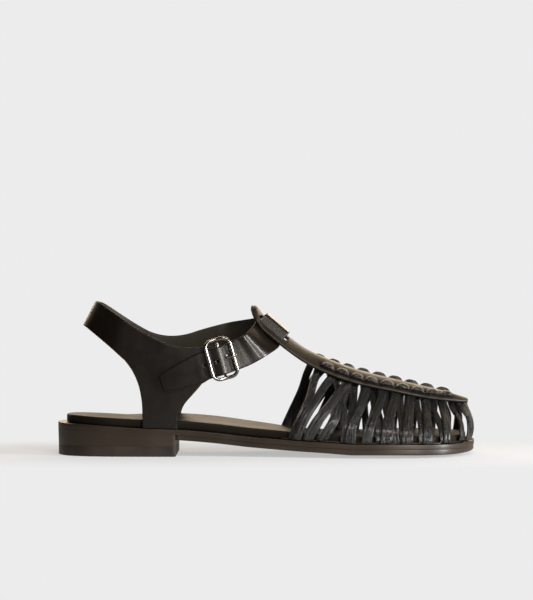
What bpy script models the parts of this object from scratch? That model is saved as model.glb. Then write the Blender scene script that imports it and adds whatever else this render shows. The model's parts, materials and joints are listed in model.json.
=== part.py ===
"""A woven leather sandal for the right foot, standing empty on its sole.

Units are metres. +X runs from the heel to the toe, +Z is up and -Y is the outer side of the foot.
The origin is on the floor, under the middle of the sole's length and width. Side is -1 for the
outer side and +1 for the inner side everywhere below.
"""

from math import acos, cos, pi, sin

import bmesh
import bpy
import numpy as np
from mathutils import Vector

MM = 0.001

# Driving sizes of the sole
LENGTH = 262 * MM
BALL_WIDTH = 89 * MM
MIDSOLE_THICK = 3.1 * MM
OUTSOLE_THICK = 3.2 * MM
HEEL_LENGTH = 75 * MM
HEEL_HEIGHT = 17.4 * MM
TOP_PIECE_THICK = 6.4 * MM
TOE_SPRING = 3.0 * MM
SOLE_CAMBER = 2.5 * MM
FLAT_HALF_WIDTH = 12 * MM
OUTSOLE_INSET = 0.5 * MM

# Driving sizes of the insole
INSOLE_INSET = 5.4 * MM
INSOLE_THICK = 5.4 * MM
ARCH_LIFT = 3.4 * MM
REBATE_HEIGHT = 1.7 * MM
REBATE_DEPTH = 4.6 * MM

# Driving sizes of the upper
TOE_HEIGHT = 34.5 * MM
INSTEP_HEIGHT = 92.5 * MM
TBAR_HALF_WIDTH = 16 * MM
TBAR_THICK = 2.0 * MM
STRIP_WIDTH = 5.6 * MM
STRIP_THICK = 1.7 * MM
STRIP_STEP = 1.0 * MM
STRIP_RISE = 0.42
STRIP_BULGE = 2.0 * MM
TOE_BULGE = 3.0 * MM
FOOT_INSET = 3.6 * MM
MARGIN_THICK = 1.0 * MM
MARGIN_WIDTH = 6.0 * MM
MARGIN_OUTSIDE = 1.0 * MM
MARGIN_LIFT = 0.35 * MM
TURN_WIDTH = 3.0 * MM
TURN_RISE = 1.9 * MM
TURN_FROM_EDGE = 3.4 * MM
SLOT_FROM_EDGE = 4.4 * MM

# The T-bar's two ends along the shoe and its shift to the inner side at each, as shares of LENGTH
# and of BALL_WIDTH
TBAR_BACK, TBAR_TIP = 0.463, 0.985
TBAR_SHIFT_BACK, TBAR_SHIFT_TIP = 0.02, 0.055

# Driving sizes of the sling, the ankle strap and its buckle
STRAP_THICK = 1.8 * MM
STRAP_WIDTH = 18 * MM
STRAP_CLEARANCE = 0.6 * MM
LEG_MARGIN = 4.4 * MM
ANKLE_HEIGHT = 95.6 * MM
ANKLE_HALF_WIDTH = 27 * MM
BUCKLE_WIRE = 1.1 * MM
BAR_WIRE = 0.9 * MM
PRONG_WIRE = 0.8 * MM
BUCKLE_LENGTH = 15 * MM
BUCKLE_WIDTH = 24.4 * MM
BUCKLE_CORNER = 4.5 * MM
BUCKLE_ALONG = 0.3924
BUCKLE_HEIGHT = 0.631 * ANKLE_HEIGHT
BUCKLE_TILT = 0.266
BUCKLE_SAG = 1.0 * MM

# The strap's place on the T-bar as a share of the T-bar's length, and the two slits it goes through
# as shares of the half width there
STRAP_START = 0.062
STRAP_SLOPE = 0.80
SLIT_NEAR, SLIT_FAR = 0.27, 0.76
SLIT_SLANT = 0.018

# The heel's back in the sling, as shares of LENGTH at two shares of ANKLE_HEIGHT, and the place
# along the shoe at which the round back runs out into the two sides
HEEL_SIDE = 0.22
HEEL_BACK_LOW, HEEL_BACK_HIGH = 0.0622, 0.0924
HEEL_LOW, HEEL_HIGH = 0.84, 1.0

GAP = 0.3 * MM
OUTER, INNER = -1, 1

# The outline of the sole. Turn is the share of a half turn from the heel's back to the toe's tip,
# and the two half widths are shares of BALL_WIDTH.
OUTLINE = [
    {"turn": 0.0, "outer": 0.000, "inner": 0.000},
    {"turn": 0.1, "outer": 0.200, "inner": 0.200},
    {"turn": 0.2, "outer": 0.300, "inner": 0.298},
    {"turn": 0.3, "outer": 0.325, "inner": 0.315},
    {"turn": 0.4, "outer": 0.330, "inner": 0.285},
    {"turn": 0.5, "outer": 0.375, "inner": 0.285},
    {"turn": 0.6, "outer": 0.458, "inner": 0.375},
    {"turn": 0.7, "outer": 0.494, "inner": 0.486},
    {"turn": 0.8, "outer": 0.420, "inner": 0.468},
    {"turn": 0.9, "outer": 0.215, "inner": 0.290},
    {"turn": 1.0, "outer": -0.060, "inner": 0.060},
]

# The side view of the sole's upper face along its middle. Along is the share of LENGTH from the
# heel's back. Rise is a share of HEEL_HEIGHT above the two layers' thickness, and spring is a share
# of TOE_SPRING.
PROFILE = [
    {"along": 0.00, "rise": 0.810, "spring": 0.0},
    {"along": 0.11, "rise": 0.720, "spring": 0.0},
    {"along": 0.20, "rise": 0.635, "spring": 0.0},
    {"along": 0.29, "rise": 0.585, "spring": 0.0},
    {"along": 0.37, "rise": 0.495, "spring": 0.0},
    {"along": 0.46, "rise": 0.350, "spring": 0.0},
    {"along": 0.53, "rise": 0.240, "spring": 0.0},
    {"along": 0.63, "rise": 0.090, "spring": 0.0},
    {"along": 0.70, "rise": 0.000, "spring": 0.0},
    {"along": 0.86, "rise": 0.000, "spring": 0.0},
    {"along": 0.93, "rise": 0.000, "spring": 0.22},
    {"along": 1.00, "rise": 0.000, "spring": 1.0},
]

# The T-bar, from its upper end to its tip at the toe. Along is the share of the way between the
# two ends on the ground, height is a share of the height from TOE_HEIGHT up to INSTEP_HEIGHT, the
# half widths are shares of TBAR_HALF_WIDTH and the drops of each edge are shares of it too.
TBAR = [
    {"along": 0.00, "height": 1.000, "outer": 0.88, "inner": 0.84, "drop_out": 0.52, "drop_in": 0.40},
    {"along": 0.08, "height": 0.862, "outer": 0.96, "inner": 0.92, "drop_out": 0.56, "drop_in": 0.44},
    {"along": 0.16, "height": 0.700, "outer": 0.98, "inner": 0.94, "drop_out": 0.52, "drop_in": 0.44},
    {"along": 0.25, "height": 0.545, "outer": 0.98, "inner": 0.94, "drop_out": 0.50, "drop_in": 0.34},
    {"along": 0.36, "height": 0.425, "outer": 1.00, "inner": 0.96, "drop_out": 0.53, "drop_in": 0.20},
    {"along": 0.50, "height": 0.305, "outer": 1.04, "inner": 1.00, "drop_out": 0.48, "drop_in": 0.12},
    {"along": 0.65, "height": 0.215, "outer": 1.00, "inner": 0.96, "drop_out": 0.42, "drop_in": 0.10},
    {"along": 0.80, "height": 0.130, "outer": 0.84, "inner": 0.80, "drop_out": 0.38, "drop_in": 0.10},
    {"along": 0.92, "height": 0.060, "outer": 0.58, "inner": 0.56, "drop_out": 0.26, "drop_in": 0.10},
    {"along": 1.00, "height": 0.000, "outer": 0.30, "inner": 0.30, "drop_out": 0.10, "drop_in": 0.06},
]

# The woven strips of each side, in the order of their feet. Each column is a strip's place along
# the cage, 0 at the waist and 1 at the toe, at even steps of its way up from the sole to the T-bar.
# Lay is its height over the innermost strips in steps of STRIP_STEP, and wide a share of
# STRIP_WIDTH. Their crossings and forks come from these places.
WEAVE = [
    {"foot": 0.056, "low": 0.073, "middle": 0.080, "high": 0.068, "top": 0.062, "lay": 0, "wide": 0.92},
    {"foot": 0.075, "low": 0.090, "middle": 0.114, "high": 0.132, "top": 0.163, "lay": 1, "wide": 1.00},
    {"foot": 0.131, "low": 0.160, "middle": 0.199, "high": 0.224, "top": 0.263, "lay": 1, "wide": 1.05},
    {"foot": 0.200, "low": 0.235, "middle": 0.248, "high": 0.253, "top": 0.275, "lay": 0, "wide": 1.00},
    {"foot": 0.312, "low": 0.299, "middle": 0.269, "high": 0.213, "top": 0.169, "lay": 0, "wide": 0.75},
    {"foot": 0.331, "low": 0.327, "middle": 0.320, "high": 0.304, "top": 0.288, "lay": 0, "wide": 0.92},
    {"foot": 0.344, "low": 0.340, "middle": 0.357, "high": 0.363, "top": 0.363, "lay": 1, "wide": 1.05},
    {"foot": 0.494, "low": 0.475, "middle": 0.447, "high": 0.419, "top": 0.381, "lay": 0, "wide": 0.80},
    {"foot": 0.425, "low": 0.430, "middle": 0.453, "high": 0.465, "top": 0.475, "lay": 1, "wide": 1.05},
    {"foot": 0.581, "low": 0.555, "middle": 0.514, "high": 0.494, "top": 0.494, "lay": 0, "wide": 0.75},
    {"foot": 0.525, "low": 0.525, "middle": 0.531, "high": 0.547, "top": 0.556, "lay": 1, "wide": 1.20},
    {"foot": 0.613, "low": 0.607, "middle": 0.596, "high": 0.588, "top": 0.588, "lay": 0, "wide": 0.85},
    {"foot": 0.631, "low": 0.631, "middle": 0.636, "high": 0.643, "top": 0.650, "lay": 1, "wide": 1.10},
    {"foot": 0.713, "low": 0.710, "middle": 0.701, "high": 0.691, "top": 0.688, "lay": 0, "wide": 0.80},
    {"foot": 0.738, "low": 0.738, "middle": 0.738, "high": 0.746, "top": 0.756, "lay": 1, "wide": 1.05},
    {"foot": 0.831, "low": 0.823, "middle": 0.805, "high": 0.787, "top": 0.775, "lay": 0, "wide": 0.85},
    {"foot": 0.844, "low": 0.844, "middle": 0.847, "high": 0.847, "top": 0.844, "lay": 1, "wide": 1.00},
    {"foot": 0.938, "low": 0.933, "middle": 0.931, "high": 0.914, "top": 0.913, "lay": 0, "wide": 0.70},
    {"foot": 0.969, "low": 0.975, "middle": 0.981, "high": 0.967, "top": 0.950, "lay": 1, "wide": 1.00},
]
TOE_STRIP = {"foot": 1.0, "low": 1.0, "middle": 1.0, "high": 1.0, "top": 1.0, "lay": 1, "wide": 1.0}
WEAVE_COLUMNS = ("foot", "low", "middle", "high", "top")

# Where the cage's waist and toe are along the sole and along the T-bar, as shares of LENGTH
CAGE_SOLE = {"outer": (0.53, 0.9999), "inner": (0.512, 0.985)}
CAGE_TBAR = {"outer": (0.606, 0.979), "inner": (0.592, 0.970)}

# The turns of the strips that show on each edge of the T-bar, as shares of LENGTH.
OUTER_TURNS = (0.646, 0.681, 0.716, 0.750, 0.788, 0.826, 0.862, 0.898, 0.932)
INNER_TURNS = (0.628, 0.664, 0.699, 0.735, 0.774, 0.813, 0.852, 0.890, 0.928)

# A strip's section, as shares of STRIP_WIDTH and STRIP_THICK
STRIP_SECTION = [(-0.5, -0.25), (-0.3, 0.5), (0.3, 0.5), (0.5, -0.25), (0.3, -0.5), (-0.3, -0.5)]

# A turn from its stem below the T-bar up to its top, and the slot's cutter. Level is a height over
# the T-bar's upper face and size a share of the full size.
TURN_LEVELS = [
    {"level": -TBAR_THICK - GAP - STRIP_THICK, "size": 0.85},
    {"level": 0.5 * TURN_RISE, "size": 1.0},
    {"level": TURN_RISE, "size": 0.55},
]
SLOT_LEVELS = [{"level": -2 * TBAR_THICK, "size": 1.0}, {"level": TBAR_THICK, "size": 1.0}]

# Each leg of the sling, from the sole up. Rise is a share of ANKLE_HEIGHT, back and front are
# shares of LENGTH.
LEG = [
    {"rise": 0.205, "back": 0.208, "front": 0.290},
    {"rise": 0.270, "back": 0.208, "front": 0.292},
    {"rise": 0.340, "back": 0.207, "front": 0.308},
    {"rise": 0.400, "back": 0.205, "front": 0.327},
    {"rise": 0.450, "back": 0.200, "front": 0.343},
    {"rise": 0.500, "back": 0.194, "front": 0.356},
    {"rise": 0.550, "back": 0.186, "front": 0.360},
    {"rise": 0.600, "back": 0.175, "front": 0.360},
    {"rise": 0.660, "back": 0.184, "front": 0.340},
]


def column(table, name):
    return [row[name] for row in table]


def smooth(table, name, key, at):
    """The value of a column between a table's rows, on a smooth curve through them."""
    knots = column(table, key)
    values = column(table, name)
    at = min(max(at, knots[0]), knots[-1])
    index = min(int(np.searchsorted(knots, at, side="right")) - 1, len(knots) - 2)
    slopes = np.gradient(values, knots)
    span = knots[index + 1] - knots[index]
    share = (at - knots[index]) / span
    low, high = values[index], values[index + 1]
    return (
        (1 + 2 * share) * (1 - share) ** 2 * low
        + share * (1 - share) ** 2 * span * slopes[index]
        + share**2 * (3 - 2 * share) * high
        + share**2 * (share - 1) * span * slopes[index + 1]
    )


def side_name(side):
    return "outer" if side == OUTER else "inner"


def outline_y(turn, side):
    return side * BALL_WIDTH * smooth(OUTLINE, side_name(side), "turn", turn)


def outline_point(turn, side, inset=0.0):
    """A point of the sole's outline seen from above, moved inwards by inset."""
    step = 0.002
    before, after = max(turn - step, 0.0), min(turn + step, 1.0)
    tangent = Vector(
        (
            LENGTH / 2 * (cos(pi * before) - cos(pi * after)),
            outline_y(after, side) - outline_y(before, side),
        )
    ).normalized()
    inward = Vector((side * tangent.y, -side * tangent.x))
    if turn in (0.0, 1.0):
        inward = Vector((1.0 if turn == 0.0 else -1.0, 0.0))
    return Vector((-LENGTH / 2 * cos(pi * turn), outline_y(turn, side))) + inset * inward


def turn_of(along):
    """The turn at a share of LENGTH from the heel's back."""
    return acos(1 - 2 * along) / pi


def along_of(x):
    return min(max(x / LENGTH + 0.5, 0.0), 1.0)


def sole_level(x, y):
    """Height of the midsole's upper face."""
    along = along_of(x)
    thick = MIDSOLE_THICK + OUTSOLE_THICK
    rise = smooth(PROFILE, "rise", "along", along) * HEEL_HEIGHT
    spring = smooth(PROFILE, "spring", "along", along) * TOE_SPRING
    forward = min(max((along - 0.45) / 0.2, 0.0), 1.0)
    outside = max(abs(y) - FLAT_HALF_WIDTH, 0.0) / (BALL_WIDTH / 2 - FLAT_HALF_WIDTH)
    return thick + max(rise, 0.0) + max(spring, 0.0) + forward * SOLE_CAMBER * outside**1.6


def new_material(name, colour, roughness, metallic=0.0):
    material = bpy.data.materials.new(name)
    material.use_nodes = True
    shader = material.node_tree.nodes["Principled BSDF"]
    shader.inputs["Base Color"].default_value = (*colour, 1)
    shader.inputs["Roughness"].default_value = roughness
    shader.inputs["Metallic"].default_value = metallic
    return material


def new_object(name, mesh, collection, material=None):
    made = bpy.data.objects.new(name, mesh)
    collection.objects.link(made)
    if material:
        mesh.materials.append(material)
    return made


def loft(name, rings):
    """A closed solid through rings of points of equal count, with flat ends. Points that fall
    together at a pointed end are merged."""
    build = bmesh.new()
    rows = [[build.verts.new(point) for point in ring] for ring in rings]
    count = len(rings[0])
    for row, after in zip(rows, rows[1:]):
        for index in range(count):
            ahead = (index + 1) % count
            build.faces.new((row[index], row[ahead], after[ahead], after[index]))
    build.faces.new(list(reversed(rows[0])))
    build.faces.new(rows[-1])
    bmesh.ops.remove_doubles(build, verts=build.verts, dist=1e-6)
    bmesh.ops.dissolve_degenerate(build, edges=build.edges, dist=1e-6)
    bmesh.ops.recalc_face_normals(build, faces=build.faces)
    mesh = bpy.data.meshes.new(name)
    build.to_mesh(mesh)
    build.free()
    return mesh


def section_ring(turn, inset, profile, level, columns):
    """One cross-section of a layer of the sole at a turn. The profile's rows give each edge's
    further inset and its lift over the level, from the underside to the upper face."""
    edges = {}
    for side in (OUTER, INNER):
        edges[side] = [(outline_point(turn, side, inset + row["inset"]), row["lift"]) for row in profile]

    def across(index):
        (near, low), (far, _) = edges[OUTER][index], edges[INNER][index]
        return [(near.lerp(far, share / columns), low) for share in range(1, columns)]

    flat = edges[OUTER] + across(-1) + edges[INNER][::-1] + across(0)[::-1]
    return [(point.x, point.y, level(point.x, point.y, lift)) for point, lift in flat]


def turns_between(first, last, count):
    return [first + (last - first) * step / count for step in range(count + 1)]


def heel_turn():
    """The turn of the heel's front face, its breast."""
    return turn_of(HEEL_LENGTH / LENGTH)


def add_sole(parts, leather, rubber):
    """The layers below the foot: midsole, outsole, heel block and top piece."""

    def layer_level(x, y, lift):
        return sole_level(x, y) + lift

    midsole = [{"inset": 0.0, "lift": -MIDSOLE_THICK}, {"inset": 0.0, "lift": 0.0}]
    rings = [section_ring(turn, 0.0, midsole, layer_level, 6) for turn in turns_between(0, 1, 26)]
    new_object("midsole", loft("midsole", rings), parts, leather)

    upper = -MIDSOLE_THICK - GAP
    outsole = [
        {"inset": 0.4 * MM, "lift": -MIDSOLE_THICK - OUTSOLE_THICK},
        {"inset": 0.0, "lift": upper},
    ]
    breast = heel_turn()
    turns = turns_between(breast + 0.002, 1, 24)
    rings = [section_ring(turn, OUTSOLE_INSET, outsole, layer_level, 6) for turn in turns]
    new_object("outsole", loft("outsole", rings), parts, leather)

    def block_level(x, y, lift):
        return sole_level(x, y) + upper if lift else TOP_PIECE_THICK + GAP

    def piece_level(x, y, lift):
        return lift

    block = [{"inset": 0.5 * MM, "lift": 0.0}, {"inset": 0.0, "lift": 1.0}]
    piece = [{"inset": 0.9 * MM, "lift": 0.0}, {"inset": 0.5 * MM, "lift": TOP_PIECE_THICK}]
    turns = turns_between(0, breast, 12)
    rings = [section_ring(turn, OUTSOLE_INSET, block, block_level, 3) for turn in turns]
    new_object("heel_block", loft("heel_block", rings), parts, leather)
    rings = [section_ring(turn, OUTSOLE_INSET, piece, piece_level, 3) for turn in turns]
    new_object("heel_top_piece", loft("heel_top_piece", rings), parts, rubber)


def insole_level(x, y, lift):
    """Height in the insole: its arch rises on the inner side, with the upper face."""
    along = along_of(x)
    arch = max(0.0, 1 - ((along - 0.36) / 0.2) ** 2)
    slant = min(max(y / (0.3 * BALL_WIDTH), 0.0), 1.0)
    raised = lift / INSOLE_THICK * arch * slant * ARCH_LIFT
    return sole_level(x, y) + lift + raised


def add_insole(parts, leather):
    thick = INSOLE_THICK
    profile = [
        {"inset": REBATE_DEPTH, "lift": 1.5 * GAP},
        {"inset": REBATE_DEPTH - 0.6 * MM, "lift": REBATE_HEIGHT},
        {"inset": 0.12 * thick, "lift": REBATE_HEIGHT},
        {"inset": 0.0, "lift": 0.5 * thick},
        {"inset": 0.14 * thick, "lift": 0.8 * thick},
        {"inset": 0.6 * thick, "lift": thick},
    ]
    turns = turns_between(0, 1, 26)
    rings = [section_ring(turn, INSOLE_INSET, profile, insole_level, 4) for turn in turns]
    new_object("insole", loft("insole", rings), parts, leather)


def tbar_x(share):
    return LENGTH * (TBAR_BACK + (TBAR_TIP - TBAR_BACK) * share - 0.5)


def tbar_middle_y(share):
    return BALL_WIDTH * (TBAR_SHIFT_BACK + (TBAR_SHIFT_TIP - TBAR_SHIFT_BACK) * share)


def tbar_raw(share, across):
    """A point on the T-bar's upper face. Across runs from -1 at its outer edge to +1."""
    height = TOE_HEIGHT + (INSTEP_HEIGHT - TOE_HEIGHT) * smooth(TBAR, "height", "along", share)
    outer = across < 0
    half = smooth(TBAR, "outer" if outer else "inner", "along", share) * TBAR_HALF_WIDTH
    drop = smooth(TBAR, "drop_out" if outer else "drop_in", "along", share) * TBAR_HALF_WIDTH
    rounding = 1 - max(0.0, 1 - share / 0.05) ** 2 * 0.45
    return Vector(
        (
            tbar_x(share),
            tbar_middle_y(share) + across * half * rounding,
            height - drop * (abs(across) * rounding) ** 1.7,
        )
    )


def tbar_point(share, across, lift=0.0):
    """A point lifted off the T-bar's upper face along its normal."""
    step = 0.01
    ahead = tbar_raw(min(share + step, 1.0), across) - tbar_raw(max(share - step, 0.0), across)
    beside = tbar_raw(share, across + step) - tbar_raw(share, across - step)
    return tbar_raw(share, across) + ahead.cross(beside).normalized() * lift


def tbar_share(along):
    return (along - TBAR_BACK) / (TBAR_TIP - TBAR_BACK)


def inset_across(share, side, distance):
    """The place across the T-bar at a distance inside its edge."""
    half = smooth(TBAR, side_name(side), "along", share) * TBAR_HALF_WIDTH
    return side * max(1 - distance / half, 0.0)


def foot_point(along, side, inset=FOOT_INSET, lift=GAP):
    """A point on the midsole where the upper leaves it."""
    flat = outline_point(turn_of(along), side, inset)
    return Vector((flat.x, flat.y, sole_level(flat.x, flat.y) + lift))


def strip_point(foot, top, side, lay, way):
    """A point of the cage's surface, part of the way from the sole up to the T-bar."""
    start = foot_point(foot, side)
    share = tbar_share(top)
    depth = TBAR_THICK + 2 * GAP + STRIP_THICK / 2 + (1 - lay) * STRIP_STEP
    across = inset_across(share, side, SLOT_FROM_EDGE)
    end = tbar_point(share, across, -depth)
    rim = tbar_point(share, side * 1.0, -depth)
    flat = outline_point(turn_of(foot), side, 0.0)
    outward = Vector((*(flat - start.xy), 0)).normalized()
    height = end.z - start.z
    spread = (start - end).xy.length
    bulge = STRIP_BULGE + TOE_BULGE * max(foot - 0.9, 0.0) / 0.1 + 0.04 * height
    lean = Vector((0, 0, STRIP_RISE * height)) + outward * bulge
    slant = Vector(((end.x - start.x) * 0.24, 0, 0))
    roof = (rim - end).normalized() * STRIP_RISE * (0.55 * height + 0.45 * spread)
    one, two = start + lean + slant, end + roof - slant
    back = 1 - way
    return back**3 * start + 3 * back**2 * way * one + 3 * back * way**2 * two + way**3 * end


def weave_shares(strip, side, way, aside=0.0):
    """The shares of LENGTH, along the sole and along the T-bar, of a strip's place on its way up."""
    line = [{"way": index / 4, "place": strip[name]} for index, name in enumerate(WEAVE_COLUMNS)]
    place = min(max(smooth(line, "place", "way", way) + aside, 0.0), 1.0)
    first, last = CAGE_SOLE[side_name(side)]
    start, end = CAGE_TBAR[side_name(side)]
    return first + (last - first) * place, start + (end - start) * place


def strip_frame(strip, side, way):
    """The middle of a strip at a share of its way up, with its width and outward directions."""
    step = 0.008

    def at(place, aside=0.0):
        foot, top = weave_shares(strip, side, place, aside)
        return strip_point(foot, top, side, strip["lay"], place)

    here = at(way)
    along = (at(min(way + 0.02, 1.0)) - at(max(way - 0.02, 0.0))).normalized()
    beside = (at(way, step) - at(way, -step)).normalized()
    outward = beside.cross(along) * side
    if outward.dot(Vector((0.3 * (strip["foot"] > 0.93), side, 0.6))) < 0:
        outward = -outward
    outward = outward.normalized()
    width = outward.cross(along).normalized()
    return here + outward * strip["lay"] * STRIP_STEP * (1 - way), width, outward


def strip_mesh(name, strip, side, steps):
    rings = []
    for step in range(steps + 1):
        middle, width, outward = strip_frame(strip, side, step / steps)
        rings.append(
            [
                middle + width * STRIP_WIDTH * strip["wide"] * w + outward * STRIP_THICK * t
                for w, t in STRIP_SECTION
            ]
        )
    rings[0] = [Vector((p.x, p.y, sole_level(p.x, p.y) + MARGIN_LIFT)) for p in rings[0]]
    return loft(name, rings)


def turn_mesh(name, along, side, levels, grow=0.0):
    """A strip's turn over the T-bar's edge, as a rounded lump. Its stem passes through a slot, and
    the same shape grown by a clearance and made straight cuts the slot."""
    share = tbar_share(along)
    middle = tbar_point(share, inset_across(share, side, TURN_FROM_EDGE))
    ahead = (
        tbar_point(share + 0.01, inset_across(share + 0.01, side, TURN_FROM_EDGE))
        - tbar_point(share - 0.01, inset_across(share - 0.01, side, TURN_FROM_EDGE))
    ).normalized()
    up = (tbar_point(share, inset_across(share, side, TURN_FROM_EDGE), MM) - middle).normalized()
    beside = up.cross(ahead).normalized()
    corners = [(1, 0), (0.7, 0.8), (-0.7, 0.8), (-1, 0), (-0.7, -0.8), (0.7, -0.8)]
    rings = []
    for row in levels:
        length = ahead * (0.58 * STRIP_WIDTH * row["size"] + grow)
        width = beside * (0.55 * TURN_WIDTH * row["size"] + 1.1 * grow)
        base = middle + up * row["level"]
        rings.append([base + length * a + width * b for a, b in corners])
    return loft(name, rings)


def margin_mesh():
    """The margin of the upper that is lasted between insole and midsole."""
    places = [(along, OUTER) for along in (0.530, 0.57, 0.62, 0.67, 0.72, 0.77, 0.82, 0.86, 0.90)]
    places += [(along, OUTER) for along in (0.935, 0.963, 0.982, 0.995, 0.9999)]
    inner = [(along, INNER) for along in (0.506, 0.55, 0.60, 0.65, 0.70, 0.75, 0.80, 0.845, 0.885)]
    inner += [(along, INNER) for along in (0.92, 0.95, 0.975, 0.992)]
    places += inner[::-1]
    first = FOOT_INSET - MARGIN_OUTSIDE
    last = first + MARGIN_WIDTH
    low, high = MARGIN_LIFT, MARGIN_LIFT + MARGIN_THICK
    rings = []
    for along, side in places:
        rings.append(
            [
                foot_point(along, side, first, low),
                foot_point(along, side, first, high),
                foot_point(along, side, last, high),
                foot_point(along, side, last, low),
            ]
        )
    return loft("margin", rings)


def united(body, others, helpers):
    """Adds each of the other meshes to the body, with one exact Boolean."""
    group = bpy.data.collections.new(body.name + "_joined")
    helpers.children.link(group)
    for mesh in others:
        piece = new_object(mesh.name, mesh, group)
        piece.hide_render = True
        piece.display_type = "WIRE"
    join = body.modifiers.new("joined", "BOOLEAN")
    join.operation = "UNION"
    join.solver = "EXACT"
    join.operand_type = "COLLECTION"
    join.collection = group


def cut_by(body, meshes, helpers):
    group = bpy.data.collections.new(body.name + "_cuts")
    helpers.children.link(group)
    for mesh in meshes:
        piece = new_object(mesh.name, mesh, group)
        piece.hide_render = True
        piece.display_type = "WIRE"
    cut = body.modifiers.new("cuts", "BOOLEAN")
    cut.operation = "DIFFERENCE"
    cut.solver = "EXACT"
    cut.operand_type = "COLLECTION"
    cut.collection = group


def add_cage(parts, helpers, leather):
    cage = new_object("woven_cage", margin_mesh(), parts, leather)
    pieces = []
    for side, turns, steps in ((OUTER, OUTER_TURNS, 6), (INNER, INNER_TURNS, 5)):
        name = side_name(side)
        for index, strip in enumerate(WEAVE):
            pieces.append(strip_mesh(f"{name}_strip_{index}", strip, side, steps))
        for index, along in enumerate(turns):
            pieces.append(turn_mesh(f"{name}_turn_{index}", along, side, TURN_LEVELS))
    pieces.append(strip_mesh("toe_strip", TOE_STRIP, OUTER, 6))
    united(cage, pieces, helpers)


def strap_end():
    """The share of the T-bar's length at the strap's front edge."""
    return STRAP_START + STRAP_WIDTH * STRAP_SLOPE / (LENGTH * (TBAR_TIP - TBAR_BACK))


def slit_mesh(side):
    """The cutter of the slit that the ankle strap passes through on one side of the T-bar."""
    rings = []
    extra = 1.4 * MM / (LENGTH * (TBAR_TIP - TBAR_BACK))
    first, last = STRAP_START - extra, strap_end() + extra
    shares = [first + (last - first) * step / 4 for step in range(5)]
    for share in shares:
        near, far = side * SLIT_NEAR, side * SLIT_FAR
        back = share - SLIT_SLANT
        rings.append(
            [
                tbar_point(share, near, 2 * TBAR_THICK),
                tbar_point(back, far, 2 * TBAR_THICK),
                tbar_point(back, far, -2 * TBAR_THICK),
                tbar_point(share, near, -2 * TBAR_THICK),
            ]
        )
    return loft(f"{side_name(side)}_slit", rings)


def add_tbar(parts, helpers, leather):
    """A band of leather bent over the instep, with rounded ends, slots and slits."""
    shares = [0, 0.012, 0.03, 0.06, 0.1, 0.15, 0.2, 0.26, 0.33, 0.41, 0.5, 0.59, 0.68, 0.76, 0.84]
    shares += [0.9, 0.95, 0.985, 1.0]
    columns = 6
    rings = []
    for share in shares:
        places = [-1 + 2 * step / columns for step in range(columns + 1)]
        upper = [tbar_point(share, across) for across in places]
        under = [tbar_point(share, across, -TBAR_THICK) for across in places]
        rings.append(upper + under[::-1])
    bar = new_object("t_bar", loft("t_bar", rings), parts, leather)
    cutters = [slit_mesh(OUTER), slit_mesh(INNER)]
    for side, turns in ((OUTER, OUTER_TURNS), (INNER, INNER_TURNS)):
        for index, along in enumerate(turns):
            name = f"{side_name(side)}_slot_{index}"
            cutters.append(turn_mesh(name, along, side, SLOT_LEVELS, GAP))
    cut_by(bar, cutters, helpers)


# The half width of the ankle seen from above, as a share of ANKLE_HALF_WIDTH.
ANKLE_PLAN = [
    {"along": 0.22, "half": 0.975},
    {"along": 0.29, "half": 1.000},
    {"along": 0.36, "half": 0.985},
    {"along": 0.42, "half": 0.930},
    {"along": 0.50, "half": 0.760},
]


def heel_back(height):
    """The share of LENGTH of the heel's back at a height, where the sling leans to the front."""
    share = (height / ANKLE_HEIGHT - HEEL_LOW) / (HEEL_HIGH - HEEL_LOW)
    return HEEL_BACK_LOW + (HEEL_BACK_HIGH - HEEL_BACK_LOW) * share


def band_along(place, height):
    """The share of LENGTH of a place on the sling. Places run from 0 at the heel's back to 1 at the
    end of the round part, and on to the front."""
    if place >= 1:
        return HEEL_SIDE + 0.2 * (place - 1)
    return HEEL_SIDE - (HEEL_SIDE - heel_back(height)) * cos(place * pi / 2)


def ankle_raw(place, height, side):
    along = band_along(place, height)
    high = min(max((height / ANKLE_HEIGHT - 0.18) / 0.35, 0.0), 1.0)
    low_y = abs(outline_point(turn_of(max(along, 0.19)), side, FOOT_INSET).y)
    half = ANKLE_HALF_WIDTH * smooth(ANKLE_PLAN, "half", "along", along)
    y = low_y + (half - low_y) * high * (2 - high)
    if place < 1:
        y *= sin(place * pi / 2)
    return Vector((LENGTH * (along - 0.5), side * y, height))


def ankle_point(place, height, side, lift=0.0):
    here = ankle_raw(place, height, side)
    if lift == 0.0:
        return here
    step = 0.02
    ahead = ankle_raw(place + step, height, side) - ankle_raw(max(place - step, 0), height, side)
    upward = ankle_raw(place, height + MM, side) - ankle_raw(place, height - MM, side)
    return here + ahead.cross(upward).normalized() * lift * -side


def place_of(along, height):
    """The place on the sling of a share of LENGTH at a height."""
    if along >= HEEL_SIDE:
        return 1 + (along - HEEL_SIDE) / 0.2
    return acos((HEEL_SIDE - along) / (HEEL_SIDE - heel_back(height))) / (pi / 2)


def ankle_at(along, height, side, lift=0.0):
    return ankle_point(place_of(along, height), height, side, lift)


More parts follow.
